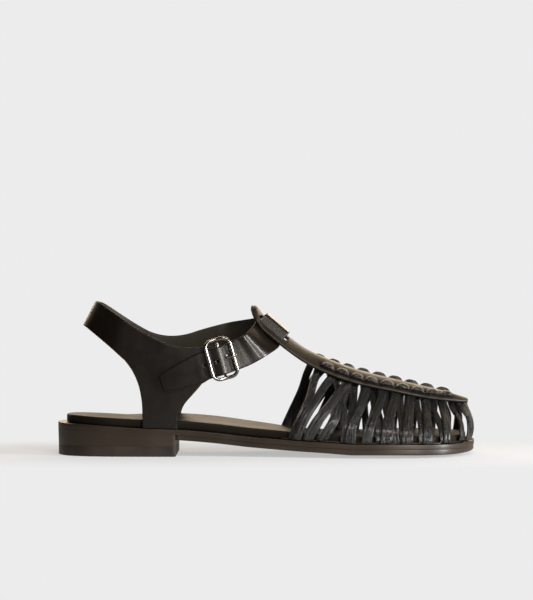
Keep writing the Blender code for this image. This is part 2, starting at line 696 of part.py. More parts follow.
# The sling's band on each side. Place is its place round the heel, 0 at the back, and top and base
# are shares of ANKLE_HEIGHT.
OUTER_BAND = [
    {"place": 0.00, "top": 1.000, "base": 0.840},
    {"place": 0.33, "top": 0.985, "base": 0.815},
    {"place": 0.67, "top": 0.910, "base": 0.708},
    {"place": 0.85, "top": 0.845, "base": 0.605},
    {"place": 1.00, "top": 0.785, "base": 0.520},
    {"place": 1.20, "top": 0.733, "base": 0.470},
    {"place": 1.40, "top": 0.705, "base": 0.450},
    {"place": 1.60, "top": 0.706, "base": 0.460},
    {"place": 1.75, "top": 0.710, "base": 0.505},
    {"place": 1.86, "top": 0.712, "base": 0.545},
]
INNER_BAND = [
    {"place": 0.00, "top": 1.000, "base": 0.840},
    {"place": 0.33, "top": 0.985, "base": 0.815},
    {"place": 0.67, "top": 0.905, "base": 0.708},
    {"place": 0.85, "top": 0.842, "base": 0.605},
    {"place": 1.00, "top": 0.790, "base": 0.520},
    {"place": 1.20, "top": 0.768, "base": 0.475},
    {"place": 1.40, "top": 0.777, "base": 0.500},
    {"place": 1.60, "top": 0.810, "base": 0.550},
    {"place": 1.80, "top": 0.840, "base": 0.610},
    {"place": 2.00, "top": 0.865, "base": 0.665},
]

# The strap's way across the T-bar: across is its place there, over is 1 above and 0 below it, and
# shift moves it towards the ankle, as a share of the T-bar's length.
STRAP_OVER = [
    {"across": 1.04, "over": 0.00, "shift": -0.040},
    {"across": 0.70, "over": 0.00, "shift": -0.024},
    {"across": 0.37, "over": 1.00, "shift": -0.006},
    {"across": 0.20, "over": 1.04, "shift": -0.002},
    {"across": 0.00, "over": 1.06, "shift": 0.000},
    {"across": -0.20, "over": 1.04, "shift": -0.002},
    {"across": -0.37, "over": 1.00, "shift": -0.006},
    {"across": -0.70, "over": 0.00, "shift": -0.020},
    {"across": -1.02, "over": 0.00, "shift": -0.030},
]

# The strap's way down the outer side to its tip. Along and height place its middle, as shares of
# LENGTH and ANKLE_HEIGHT, lean is the tilt of its width in radians, width is a share of STRAP_WIDTH
# and lift is its height over the sling in layers of strap.
STRAP_DOWN = [
    {"along": 0.473, "height": 0.7175, "lean": 0.70, "width": 1.03, "lift": 1.0},
    {"along": 0.445, "height": 0.676, "lean": 0.50, "width": 1.02, "lift": 1.0},
    {"along": 0.419, "height": 0.644, "lean": 0.32, "width": 0.98, "lift": 1.0},
    {"along": 0.390, "height": 0.615, "lean": 0.27, "width": 0.97, "lift": 2.0},
    {"along": 0.361, "height": 0.590, "lean": 0.27, "width": 0.97, "lift": 1.0},
    {"along": 0.338, "height": 0.566, "lean": 0.22, "width": 0.97, "lift": 1.0},
    {"along": 0.304, "height": 0.529, "lean": 0.15, "width": 0.85, "lift": 1.0},
    {"along": 0.267, "height": 0.487, "lean": 0.22, "width": 0.66, "lift": 1.0},
    {"along": 0.256, "height": 0.475, "lean": 0.29, "width": 0.54, "lift": 1.0},
]


def strap_rows():
    """Across the sling and strap at each row: its upper edge, middle and lower edge."""
    rows = []
    sling = [(row, OUTER) for row in OUTER_BAND[::-1]] + [(row, INNER) for row in INNER_BAND[1:]]
    for row, side in sling:
        heights = (row["top"], (row["top"] + row["base"]) / 2, row["base"])
        rows.append([ankle_point(row["place"], share * ANKLE_HEIGHT, side) for share in heights])
    below = -TBAR_THICK - STRAP_CLEARANCE - STRAP_THICK / 2
    above = STRAP_CLEARANCE + STRAP_THICK / 2
    for row in STRAP_OVER:
        lift = below + (above - below) * row["over"]
        shares = (STRAP_START, (STRAP_START + strap_end()) / 2, strap_end())
        rows.append([tbar_point(share + row["shift"], row["across"], lift) for share in shares])
    for row in STRAP_DOWN:
        lift = (STRAP_THICK + GAP) * row["lift"]
        half = row["width"] * STRAP_WIDTH / 2
        aside, up = half * sin(row["lean"]) / LENGTH, half * cos(row["lean"])
        height = row["height"] * ANKLE_HEIGHT
        rows.append(
            [
                ankle_at(row["along"] - step * aside, height + step * up, OUTER, lift)
                for step in (1, 0, -1)
            ]
        )
    return rows


def refined(points, between):
    """Points on a smooth curve through the given ones, with more between them."""
    found = []
    for index in range(len(points) - 1):
        before = points[max(index - 1, 0)]
        start, end = points[index], points[index + 1]
        after = points[min(index + 2, len(points) - 1)]
        for step in range(between):
            share = step / between
            found.append(
                0.5
                * (
                    2 * start
                    + (end - before) * share
                    + (2 * before - 5 * start + 4 * end - after) * share**2
                    + (3 * start - before - 3 * end + after) * share**3
                )
            )
    return found + [points[-1]]


def band_mesh():
    """The sling and strap as one long ribbon of even thickness."""
    rows = strap_rows()
    lines = [refined([row[index] for row in rows], 2) for index in range(3)]
    count = len(lines[0])
    rings = []
    for index in range(count):
        before, after = max(index - 1, 0), min(index + 1, count - 1)
        ahead = sum((line[after] - line[before] for line in lines), Vector()).normalized()
        top, middle, low = (line[index] for line in lines)
        half = (top - low).cross(ahead).normalized() * STRAP_THICK / 2
        rings.append([top + half, middle + half, low + half, low - half, middle - half, top - half])
    return loft("quarter_strap", rings)


def leg_mesh(side):
    """One leg of the sling, from its margin below the insole up into the band."""
    half = 0.4 * STRAP_THICK
    rings = []
    base = LEG[0]
    for inset in (FOOT_INSET + LEG_MARGIN, FOOT_INSET + half):
        back = foot_point(base["back"], side, inset)
        front = foot_point(base["front"], side, inset)
        rise = Vector((0, 0, MARGIN_THICK))
        rings.append([back, front, front + rise, back + rise])
    for row in LEG:
        height = row["rise"] * ANKLE_HEIGHT
        ring = []
        for name, lift in (("back", half), ("front", half), ("front", -half), ("back", -half)):
            ring.append(ankle_at(row[name], height, side, lift))
        rings.append(ring)
    return loft(f"{side_name(side)}_leg", rings)


def add_quarter(parts, helpers, leather):
    band = new_object("quarter_strap", band_mesh(), parts, leather)
    united(band, [leg_mesh(OUTER), leg_mesh(INNER)], helpers)
    cut_by(band, [wire_mesh("prong_hole", prong_points(BAR_WIRE), PRONG_WIRE + GAP)], helpers)


def buckle_point(along_strap, across_strap, lift):
    """A point of the buckle, from its middle along and across the strap, lifted off the sling."""
    aside = along_strap * cos(BUCKLE_TILT) - across_strap * sin(BUCKLE_TILT)
    up = along_strap * sin(BUCKLE_TILT) + across_strap * cos(BUCKLE_TILT)
    return ankle_at(BUCKLE_ALONG + aside / LENGTH, BUCKLE_HEIGHT + up, OUTER, lift)


def wire_mesh(name, points, radius, cyclic=False):
    """The mesh of a round wire through the points."""
    curve = bpy.data.curves.new(name, "CURVE")
    curve.dimensions = "3D"
    curve.bevel_depth = radius
    curve.bevel_resolution = 2
    curve.use_fill_caps = not cyclic
    spline = curve.splines.new("POLY")
    spline.points.add(len(points) - 1)
    for slot, point in zip(spline.points, points):
        slot.co = (*point, 1)
    spline.use_cyclic_u = cyclic
    guide = bpy.data.objects.new(name, curve)
    bpy.context.scene.collection.objects.link(guide)
    graph = bpy.context.evaluated_depsgraph_get()
    mesh = bpy.data.meshes.new_from_object(guide.evaluated_get(graph))
    bpy.data.objects.remove(guide)
    build = bmesh.new()
    build.from_mesh(mesh)
    bmesh.ops.remove_doubles(build, verts=build.verts, dist=1e-6)
    bmesh.ops.recalc_face_normals(build, faces=build.faces)
    build.to_mesh(mesh)
    build.free()
    return mesh


def bar_lift():
    """The height of the buckle's middle bar over the sling's middle face."""
    return STRAP_THICK / 2 + GAP + BAR_WIRE


def frame_lift():
    """The height of the buckle's end bars, which lie over the strap."""
    return 1.5 * STRAP_THICK + GAP + STRAP_CLEARANCE + GAP + BUCKLE_WIRE


def prong_points(deeper=0.0):
    """The prong's way from the middle bar through the strap to rest on the frame."""
    top = frame_lift() + BUCKLE_WIRE + GAP + PRONG_WIRE
    start = bar_lift() + BAR_WIRE + GAP - deeper
    half = BUCKLE_LENGTH / 2
    places = [(0.02, start), (0.05, start + 1.6 * MM + deeper), (0.35, top - 0.4 * MM), (0.7, top)]
    places += [(1.0, top), (1.16, top - 0.3 * MM)]
    return [buckle_point(half * share, 0.0, lift) for share, lift in places]


def add_buckle(parts, helpers, metal):
    """A rounded frame over the strap's edges, its middle bar under the strap, and the prong."""
    half_long, half_wide = BUCKLE_LENGTH / 2, BUCKLE_WIDTH / 2
    corner = BUCKLE_CORNER
    loop = []
    for quarter, (along_sign, across_sign) in enumerate(((1, 1), (-1, 1), (-1, -1), (1, -1))):
        for step in range(4):
            angle = pi / 2 * (quarter + step / 3)
            along = along_sign * (half_long - corner) + corner * cos(angle)
            across = across_sign * (half_wide - corner) + corner * sin(angle)
            sag = (1 - abs(along) / half_long) * BUCKLE_SAG
            loop.append(buckle_point(along, across, frame_lift() - sag))
        if across_sign == 1 and along_sign == 1:
            loop.append(buckle_point(0.0, half_wide, frame_lift() - BUCKLE_SAG))
        if across_sign == -1 and along_sign == -1:
            loop.append(buckle_point(0.0, -half_wide, frame_lift() - BUCKLE_SAG))
    frame = new_object("buckle_frame", wire_mesh("frame", loop, BUCKLE_WIRE, True), parts, metal)
    straight = STRAP_WIDTH / 2 + BAR_WIRE + GAP
    bar = [
        buckle_point(0.0, half_wide - 0.3 * MM, frame_lift() - BUCKLE_SAG),
        buckle_point(0.0, straight, bar_lift()),
        buckle_point(0.0, -straight, bar_lift()),
        buckle_point(0.0, -half_wide + 0.3 * MM, frame_lift() - BUCKLE_SAG),
    ]
    united(frame, [wire_mesh("middle_bar", bar, BAR_WIRE)], helpers)
    new_object("buckle_prong", wire_mesh("prong", prong_points(), PRONG_WIRE), parts, metal)


def main():
    for stale in list(bpy.data.objects):
        bpy.data.objects.remove(stale, do_unlink=True)
    parts = bpy.data.collections.new("woven_sandal")
    helpers = bpy.data.collections.new("cutters")
    bpy.context.scene.collection.children.link(parts)
    bpy.context.scene.collection.children.link(helpers)
    leather = new_material("black leather", (0.018, 0.016, 0.015), 0.45)
    sole_leather = new_material("sole leather", (0.022, 0.018, 0.016), 0.5)
    lining = new_material("insole leather", (0.03, 0.024, 0.02), 0.55)
    metal = new_material("dark metal", (0.12, 0.115, 0.11), 0.25, 1.0)
    rubber = new_material("rubber", (0.02, 0.02, 0.02), 0.7)
    add_sole(parts, sole_leather, rubber)
    add_insole(parts, lining)
    add_tbar(parts, helpers, leather)
    add_cage(parts, helpers, leather)
    add_quarter(parts, helpers, leather)
    add_buckle(parts, helpers, metal)


main()
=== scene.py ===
"""The looks of a woven leather sandal for the right foot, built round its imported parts.

Units are metres. +X runs from the heel to the toe, +Z is up and -Y is the outer side of the foot.
The sizes and tables are those of the solid parts, except for the outsole's inset, the thickness of
the buckle's tongue and the front edge of the inner leg.
"""

import json

import bmesh
import bpy
import numpy as np
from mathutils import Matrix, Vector

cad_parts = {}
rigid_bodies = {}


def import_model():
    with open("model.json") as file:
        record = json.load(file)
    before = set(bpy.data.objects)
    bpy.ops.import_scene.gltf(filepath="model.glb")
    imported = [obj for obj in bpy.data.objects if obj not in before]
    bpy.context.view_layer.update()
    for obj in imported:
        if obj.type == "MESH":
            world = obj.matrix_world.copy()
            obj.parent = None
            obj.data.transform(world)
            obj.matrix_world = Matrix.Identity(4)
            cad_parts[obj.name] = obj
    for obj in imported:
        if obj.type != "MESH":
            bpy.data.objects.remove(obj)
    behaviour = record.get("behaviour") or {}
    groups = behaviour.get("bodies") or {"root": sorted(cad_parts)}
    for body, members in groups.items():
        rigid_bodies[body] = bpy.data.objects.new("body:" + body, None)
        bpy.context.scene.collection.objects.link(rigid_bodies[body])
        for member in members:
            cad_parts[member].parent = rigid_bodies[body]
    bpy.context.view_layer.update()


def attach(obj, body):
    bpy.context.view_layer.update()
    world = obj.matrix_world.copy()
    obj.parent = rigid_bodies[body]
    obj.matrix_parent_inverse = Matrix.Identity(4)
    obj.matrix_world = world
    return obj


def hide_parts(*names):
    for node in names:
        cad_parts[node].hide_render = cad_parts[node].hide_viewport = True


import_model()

# The midsole and outsole are two layers of bonded leather of one outline, glued flat on each other.
# Their edges were trimmed together and inked dark brown, and the lines of the layers show faintly.
MM = 0.001
OUTER, INNER = -1, 1
LENGTH = 262 * MM
BALL_WIDTH = 89 * MM
MIDSOLE_THICK = 3.1 * MM
OUTSOLE_THICK = 3.2 * MM
OUTSOLE_INSET = 0.3 * MM
HEEL_LENGTH = 75 * MM
HEEL_HEIGHT = 17.4 * MM
TOE_SPRING = 3.0 * MM
SOLE_CAMBER = 2.5 * MM
CAMBER_POWER = 1.6
CAMBER_FROM, CAMBER_REACH = 0.45, 0.2
OUTLINE_STEP = 0.002
FLAT_HALF_WIDTH = 12 * MM
GLUE_LINE = 0.02 * MM

# The outline seen from above. Turn is the share of a half turn from the heel's back to the toe's
# tip, and the two half widths are shares of BALL_WIDTH.
OUTLINE = [
    {"turn": 0.0, "outer": 0.000, "inner": 0.000},
    {"turn": 0.1, "outer": 0.200, "inner": 0.200},
    {"turn": 0.2, "outer": 0.300, "inner": 0.298},
    {"turn": 0.3, "outer": 0.325, "inner": 0.315},
    {"turn": 0.4, "outer": 0.330, "inner": 0.285},
    {"turn": 0.5, "outer": 0.375, "inner": 0.285},
    {"turn": 0.6, "outer": 0.458, "inner": 0.375},
    {"turn": 0.7, "outer": 0.494, "inner": 0.486},
    {"turn": 0.8, "outer": 0.420, "inner": 0.468},
    {"turn": 0.9, "outer": 0.215, "inner": 0.290},
    {"turn": 1.0, "outer": -0.060, "inner": 0.060},
]

# The side view of the midsole's upper face. Along is the share of LENGTH from the heel's back,
# rise a share of HEEL_HEIGHT over the two layers, and spring a share of TOE_SPRING.
PROFILE = [
    {"along": 0.00, "rise": 0.810, "spring": 0.0},
    {"along": 0.11, "rise": 0.720, "spring": 0.0},
    {"along": 0.20, "rise": 0.635, "spring": 0.0},
    {"along": 0.29, "rise": 0.585, "spring": 0.0},
    {"along": 0.37, "rise": 0.495, "spring": 0.0},
    {"along": 0.46, "rise": 0.350, "spring": 0.0},
    {"along": 0.53, "rise": 0.240, "spring": 0.0},
    {"along": 0.63, "rise": 0.090, "spring": 0.0},
    {"along": 0.70, "rise": 0.000, "spring": 0.0},
    {"along": 0.86, "rise": 0.000, "spring": 0.0},
    {"along": 0.93, "rise": 0.000, "spring": 0.22},
    {"along": 1.00, "rise": 0.000, "spring": 1.0},
]


def curve(table, name, key, at):
    """The value of a column between a table's rows: a cubic on each span, whose slope at a row is
    that of the curve through the row and its two neighbours."""
    knots = np.array([row[key] for row in table])
    values = np.array([row[name] for row in table])
    at = np.clip(at, knots[0], knots[-1])
    index = np.clip(np.searchsorted(knots, at, side="right") - 1, 0, len(knots) - 2)
    slopes = np.gradient(values, knots)
    span = knots[index + 1] - knots[index]
    share = (at - knots[index]) / span
    start = (1 + 2 * share) * (1 - share) ** 2 * values[index]
    start = start + share * (1 - share) ** 2 * span * slopes[index]
    end = share**2 * (3 - 2 * share) * values[index + 1]
    return start + end + share**2 * (share - 1) * span * slopes[index + 1]


def unit(vectors):
    """The vectors divided by their lengths."""
    return vectors / np.maximum(np.linalg.norm(vectors, axis=-1, keepdims=True), 1e-12)


def edge_y(turn, side):
    """The outline's y: the half width of the side in the table, times the ball's width."""
    outer, inner = curve(OUTLINE, "outer", "turn", turn), curve(OUTLINE, "inner", "turn", turn)
    return side * BALL_WIDTH * np.where(np.less(side, 0), outer, inner)


def outline(turn, side, inset=0.0):
    """The outline: x is half the length times minus the cosine of the turn, y is the table's, and
    both move by the inset along the normal of the curve."""
    step = OUTLINE_STEP
    before, after = np.maximum(turn - step, 0), np.minimum(turn + step, 1)
    run = LENGTH / 2 * (np.cos(np.pi * before) - np.cos(np.pi * after))
    drift = edge_y(after, side) - edge_y(before, side)
    size = np.hypot(run, drift)
    toward_x, toward_y = side * drift / size, -side * run / size
    toward_x = np.where(turn <= 0, 1.0, np.where(turn >= 1, -1.0, toward_x))
    toward_y = np.where((turn <= 0) | (turn >= 1), 0.0, toward_y)
    x = -LENGTH / 2 * np.cos(np.pi * turn) + inset * toward_x
    return x, edge_y(turn, side) + inset * toward_y


def turn_of(along):
    """The turn at a share of the length, by the arc cosine."""
    return np.arccos(np.clip(1 - 2 * np.asarray(along), -1, 1)) / np.pi


def sole_level(x, y):
    """The midsole's upper face: the side view's height, and under the forefoot a camber that grows
    with a power of the distance outside the flat middle."""
    along = np.clip(x / LENGTH + 0.5, 0, 1)
    rise = np.maximum(curve(PROFILE, "rise", "along", along), 0) * HEEL_HEIGHT
    spring = np.maximum(curve(PROFILE, "spring", "along", along), 0) * TOE_SPRING
    forward = np.clip((along - CAMBER_FROM) / CAMBER_REACH, 0, 1)
    outside = np.maximum(np.abs(y) - FLAT_HALF_WIDTH, 0) / (BALL_WIDTH / 2 - FLAT_HALF_WIDTH)
    camber = forward * SOLE_CAMBER * outside**CAMBER_POWER
    return MIDSOLE_THICK + OUTSOLE_THICK + rise + spring + camber


def rounded_edge(low, high, low_radius, high_radius, steps=5):
    """Insets and heights from the underside to the upper face, with a quarter circle at each."""
    angle = np.pi / 2 * np.arange(steps + 1) / steps
    inset, height = 1 - np.sin(angle), 1 - np.cos(angle)
    insets = np.concatenate([low_radius * inset, high_radius * inset[::-1]])
    heights = np.concatenate([low + low_radius * height, high - high_radius * height[::-1]])
    return insets, heights


def lofted(turns, insets, lifts, inset, level, columns, blunt=0.0):
    """The skin of a layer. At each turn a ring of points goes up the outer edge by the insets and
    lifts, straight across the upper face, down the inner edge and back across the underside. Blunt
    draws in the last four rings along a quarter circle. Marks are x and the height in the layer."""
    left = np.minimum((len(turns) - 1 - np.arange(len(turns))) / 4, 1)[:, None]
    aside = inset + blunt * (1 - np.sin(np.pi / 2 * left)) + insets
    near = np.stack(outline(turns[:, None], OUTER, aside), -1)
    far = np.stack(outline(turns[:, None], INNER, aside), -1)
    share = (np.arange(1, columns) / columns)[:, None]
    top = near[:, -1:] * (1 - share) + far[:, -1:] * share
    base = near[:, :1] * (1 - share) + far[:, :1] * share
    flat = np.concatenate([near, top, far[:, ::-1], base[:, ::-1]], axis=1)
    upper, under = np.full(columns - 1, lifts[-1]), np.full(columns - 1, lifts[0])
    lift = np.concatenate([lifts, upper, lifts[::-1], under])
    x, y = flat[..., 0], flat[..., 1]
    points = np.stack([x, y, level(x, y, lift)], -1)
    height = points[..., 2] - level(x, y, lifts[0])
    return points, np.stack([x, height], -1) / MM


def ring_faces(rows, count, joined=False, offset=0):
    """Quads between successive rings of count points. The last ring is joined to the first one, or
    both have a cap."""
    row = np.arange(rows if joined else rows - 1)[:, None] * count
    ahead = (row + count) % (rows * count)
    ring = np.arange(count)
    turned = (ring + 1) % count
    quads = np.stack([row + ring, row + turned, ahead + turned, ahead + ring], -1)
    faces = (quads.reshape(-1, 4) + offset).tolist()
    if not joined:
        faces += [(ring[::-1] + offset).tolist(), (ring + (rows - 1) * count + offset).tolist()]
    return faces


def built(name, points, faces, looks, part, groups=None, marks=None):
    """A smooth piece of the shoe. Groups numbers each face's material, and marks are the points'
    places on the surface in millimetres, which become its UV map."""
    mesh = bpy.data.meshes.new(name)
    mesh.from_pydata(points.reshape(-1, 3).tolist(), [], faces)
    if marks is not None:
        corner = np.empty(len(mesh.loops), dtype=np.int32)
        mesh.loops.foreach_get("vertex_index", corner)
        layer = mesh.uv_layers.new(name="surface")
        layer.data.foreach_set("uv", marks.reshape(-1, 2)[corner].astype(np.float32).ravel())
    if groups is not None:
        mesh.polygons.foreach_set("material_index", np.array(groups, dtype=np.int32))
    build = bmesh.new()
    build.from_mesh(mesh)
    bmesh.ops.remove_doubles(build, verts=build.verts, dist=2e-6)
    bmesh.ops.dissolve_degenerate(build, edges=build.edges, dist=1e-6)
    bmesh.ops.recalc_face_normals(build, faces=build.faces)
    build.to_mesh(mesh)
    build.free()
    mesh.shade_smooth()
    return placed(name, mesh, looks, part)


def placed(name, mesh, looks, part):
    """A piece of the shoe with its materials, which takes the place of a solid part."""
    piece = bpy.data.objects.new(name, mesh)
    bpy.context.scene.collection.objects.link(piece)
    for look in looks:
        mesh.materials.append(look)
    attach(piece, "root")
    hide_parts(part)
    return piece


def linear(code):
    """An sRGB hex colour as linear light: under 0.04045 a twelfth, over it a power of 2.4."""
    shares = np.array([int(code[start : start + 2], 16) / 255 for start in (1, 3, 5)])
    low, high = shares / 12.92, ((shares + 0.055) / 1.055) ** 2.4
    return (*np.where(shares <= 0.04045, low, high).tolist(), 1.0)


def node(holder, kind, sockets, **settings):
    """Adds a node and gives its outputs. A socket's value is another node's output or a constant."""
    new = holder.node_tree.nodes.new(kind)
    for name, value in settings.items():
        setattr(new, name, value)
    for socket, value in sockets.items():
        if isinstance(value, bpy.types.NodeSocket):
            holder.node_tree.links.new(value, new.inputs[socket])
        else:
            new.inputs[socket].default_value = value
    return new.outputs


def blank_look(name):
    """A material with no nodes yet."""
    look = bpy.data.materials.new(name)
    look.use_nodes = True
    look.node_tree.nodes.clear()
    return look


def inked_edge(name, dark, light, rough):
    """Trimmed and inked leather board: a satin coat of ink over fine lines along the layers."""
    line, line_length, cloud_size, fibre = 0.55, 40.0, 30 * MM, 0.9 * MM
    look = blank_look(name)
    where = node(look, "ShaderNodeTexCoord", {})
    mapped = {"Vector": where["UV"], "Scale": (1 / line_length, 1 / line, 1)}
    mapped = node(look, "ShaderNodeMapping", mapped)[0]
    lines = node(look, "ShaderNodeTexNoise", {"Vector": mapped, "Scale": 1.0, "Detail": 3.0})["Fac"]
    cloud = {"Vector": where["Object"], "Scale": 1 / cloud_size, "Detail": 4.0}
    cloud = node(look, "ShaderNodeTexNoise", cloud)["Fac"]
    grain = {"Vector": where["Object"], "Scale": 1 / fibre, "Detail": 3.0}
    grain = node(look, "ShaderNodeTexNoise", grain)["Fac"]
    bands = node(look, "ShaderNodeMapRange", {"Value": lines, "From Min": 0.3, "From Max": 0.72})[0]
    patch = node(look, "ShaderNodeMapRange", {"Value": cloud, "From Min": 0.3, "From Max": 0.7})[0]
    worn = node(look, "ShaderNodeMath", {0: bands, 1: 0.55}, operation="MULTIPLY")[0]
    shade = node(look, "ShaderNodeMath", {0: worn, 1: patch}, operation="ADD")[0]
    shade = node(look, "ShaderNodeMapRange", {"Value": shade, "From Max": 1.4})[0]
    ink = {0: shade, 6: linear(dark), 7: linear(light)}
    ink = node(look, "ShaderNodeMix", ink, data_type="RGBA")[2]
    gloss = {"Value": patch, "To Min": rough - 0.05, "To Max": rough + 0.10}
    gloss = node(look, "ShaderNodeMapRange", gloss)[0]
    lined = node(look, "ShaderNodeBump", {"Height": lines, "Strength": 0.35, "Distance": 0.12 * MM})[0]
    fibres = {"Height": grain, "Strength": 0.25, "Distance": 0.08 * MM, "Normal": lined}
    fibres = node(look, "ShaderNodeBump", fibres)[0]
    shader = {"Base Color": ink, "Roughness": gloss, "Normal": fibres}
    shader |= {"Coat Weight": 0.15, "Coat Roughness": 0.3}
    shader = node(look, "ShaderNodeBsdfPrincipled", shader)[0]
    node(look, "ShaderNodeOutputMaterial", {"Surface": shader})
    return look


def layer_level(x, y, lift):
    """Height in a layer of the sole, counted from the midsole's upper face."""
    return sole_level(x, y) + lift


SOLE_LOOK = inked_edge("inked_sole_edge", "#231b14", "#3a2f24", 0.38)
BREAST_TURN = float(turn_of(HEEL_LENGTH / LENGTH))
OUTSOLE_TOP = -MIDSOLE_THICK - GLUE_LINE
GLUED_ROUND, OPEN_ROUND = 0.15 * MM, 0.4 * MM
SOLE_COLUMNS = 8
BREAST_GAP = 0.0005

turns = np.linspace(0, 1, 181)
insets, lifts = rounded_edge(-MIDSOLE_THICK, 0.0, GLUED_ROUND, OPEN_ROUND)
points, marks = lofted(turns, insets, lifts, 0.0, layer_level, SOLE_COLUMNS)
faces = ring_faces(*points.shape[:2])
built("sole_midsole", points, faces, [SOLE_LOOK], "midsole", marks=marks)

turns = np.linspace(BREAST_TURN + BREAST_GAP, 1, 141)
underside = -MIDSOLE_THICK - OUTSOLE_THICK
insets, lifts = rounded_edge(underside, OUTSOLE_TOP, OPEN_ROUND, GLUED_ROUND)
points, marks = lofted(turns, insets, lifts, OUTSOLE_INSET, layer_level, SOLE_COLUMNS)
faces = ring_faces(*points.shape[:2])
built("sole_outsole", points, faces, [SOLE_LOOK], "outsole", marks=marks)

# The heel is a block of stacked leather board with a rubber top piece under it, both flush with the
# midsole. The block's side is inked like the sole's, and the rubber was ground on the same wheel.
TOP_PIECE_THICK = 6.4 * MM
TOP_PIECE_ROUND, TOP_PIECE_JOINT = 0.35 * MM, 0.12 * MM
HEEL_TAPER = 0.3 * MM
HEEL_COLUMNS = 6
BREAST_ROUND = 0.8 * MM
BLOCK_ROUND = 0.06 * MM


def block_level(x, y, lift):
    """Height in the block: a share of the way from the top piece to the midsole's underside."""
    low = TOP_PIECE_THICK + GLUE_LINE
    return low + lift * (sole_level(x, y) + OUTSOLE_TOP - low)


def top_piece_level(x, y, lift):
    """Height in the top piece, which stands flat on the floor."""
    return lift + 0 * x


# The rings are closer together where the breast's corner is rounded.
last_turns = BREAST_TURN - np.array([6, 3, 1, 0]) * 1e-4
turns = np.concatenate([np.linspace(0, BREAST_TURN - 0.001, 61), last_turns])
lifts = np.array([0.0, 0.012, 0.035, 0.25, 0.5, 0.75, 0.965, 0.988, 1.0])
rims = np.abs(lifts - 0.5) > 0.49
insets = HEEL_TAPER * (1 - lifts) + BLOCK_ROUND * rims
points, marks = lofted(turns, insets, lifts, 0.0, block_level, HEEL_COLUMNS, BREAST_ROUND)
faces = ring_faces(*points.shape[:2])
look = inked_edge("inked_heel_stack", "#241c13", "#3c3123", 0.40)
built("heel_stack", points, faces, [look], "heel_block", marks=marks)

insets, lifts = rounded_edge(0.0, TOP_PIECE_THICK, TOP_PIECE_ROUND, TOP_PIECE_JOINT)
points, marks = lofted(
    turns, insets, lifts, HEEL_TAPER, top_piece_level, HEEL_COLUMNS, BREAST_ROUND
)
faces = ring_faces(*points.shape[:2])

# Ground rubber is matt, and a little browner where the ink of the block ran over it.
look = blank_look("ground_rubber")
where = node(look, "ShaderNodeTexCoord", {})["Object"]
cloud = node(look, "ShaderNodeTexNoise", {"Vector": where, "Scale": 1 / (22 * MM), "Detail": 4.0})["Fac"]
grain = node(look, "ShaderNodeTexNoise", {"Vector": where, "Scale": 1 / (0.7 * MM), "Detail": 2.0})["Fac"]
patch = node(look, "ShaderNodeMapRange", {"Value": cloud, "From Min": 0.35, "From Max": 0.7})[0]
tint = {0: patch, 6: linear("#231c17"), 7: linear("#3a3027")}
tint = node(look, "ShaderNodeMix", tint, data_type="RGBA")[2]
gloss = node(look, "ShaderNodeMapRange", {"Value": patch, "To Min": 0.42, "To Max": 0.55})[0]
ground = node(look, "ShaderNodeBump", {"Height": grain, "Strength": 0.3, "Distance": 0.1 * MM})[0]
shader = {"Base Color": tint, "Roughness": gloss, "IOR": 1.52, "Normal": ground}
shader = node(look, "ShaderNodeBsdfPrincipled", shader)[0]
node(look, "ShaderNodeOutputMaterial", {"Surface": shader})
built("heel_lift", points, faces, [look], "heel_top_piece", marks=marks)

# The insole is a moulded footbed of foam under one skin of soft dark calf, which is wrapped round
# its steep side. It is glued on the midsole inside the straps, and its arch rises on the inner side.
GAP = 0.3 * MM
INSOLE_INSET = 5.4 * MM
INSOLE_THICK = 5.4 * MM
ARCH_LIFT = 3.4 * MM
ARCH_MIDDLE, ARCH_REACH = 0.36, 0.2
ARCH_FULL = 0.3 * BALL_WIDTH
HOLLOW_DEPTH = 0.5 * MM
HOLLOW_HALF_WIDTH = 0.32 * BALL_WIDTH
HEEL_HOLLOW_AT, HEEL_HOLLOW_REACH = 0.13, 0.09
BALL_HOLLOW_AT, BALL_HOLLOW_REACH = 0.72, 0.12


def insole_level(x, y, lift):
    """Height in the footbed: the sole's, an arch that is a parabola along the inner side, and a
    hollow under the heel and the ball that is a cosine bell."""
    along = np.clip(x / LENGTH + 0.5, 0, 1)
    arch = np.maximum(1 - ((along - ARCH_MIDDLE) / ARCH_REACH) ** 2, 0)
    raised = arch * np.clip(y / ARCH_FULL, 0, 1) * ARCH_LIFT
    inside = np.maximum(np.cos(np.pi / 2 * np.clip(y / HOLLOW_HALF_WIDTH, -1, 1)), 0)
    under_heel = np.exp(-(((along - HEEL_HOLLOW_AT) / HEEL_HOLLOW_REACH) ** 2))
    under_ball = np.exp(-(((along - BALL_HOLLOW_AT) / BALL_HOLLOW_REACH) ** 2))
    hollow = inside * (under_heel + under_ball)
    share = lift / INSOLE_THICK
    return sole_level(x, y) + lift + share * raised - share**4 * hollow * HOLLOW_DEPTH


# The footbed's section as insets and heights, both shares of INSOLE_THICK: a steep wall, a quarter
# ellipse for the shoulder, and the start of the flat.
angle = np.pi / 2 * np.arange(1, 9) / 8
wall = np.array([[0.06, 0.06], [0.015, 0.12], [0.0, 0.25], [0.0, 0.5], [0.0, 0.74]])
shoulder = np.stack([0.24 * (1 - np.cos(angle)), 0.74 + 0.245 * np.sin(angle)], -1)
flat = np.array([[0.36, 0.993], [0.55, 1.0], [0.9, 1.0]])
insets, lifts = np.concatenate([wall, shoulder, flat]).T * INSOLE_THICK
turns = np.linspace(0, 1, 151)
points, marks = lofted(turns, insets, lifts, INSOLE_INSET, insole_level, 18)
faces = ring_faces(*points.shape[:2])

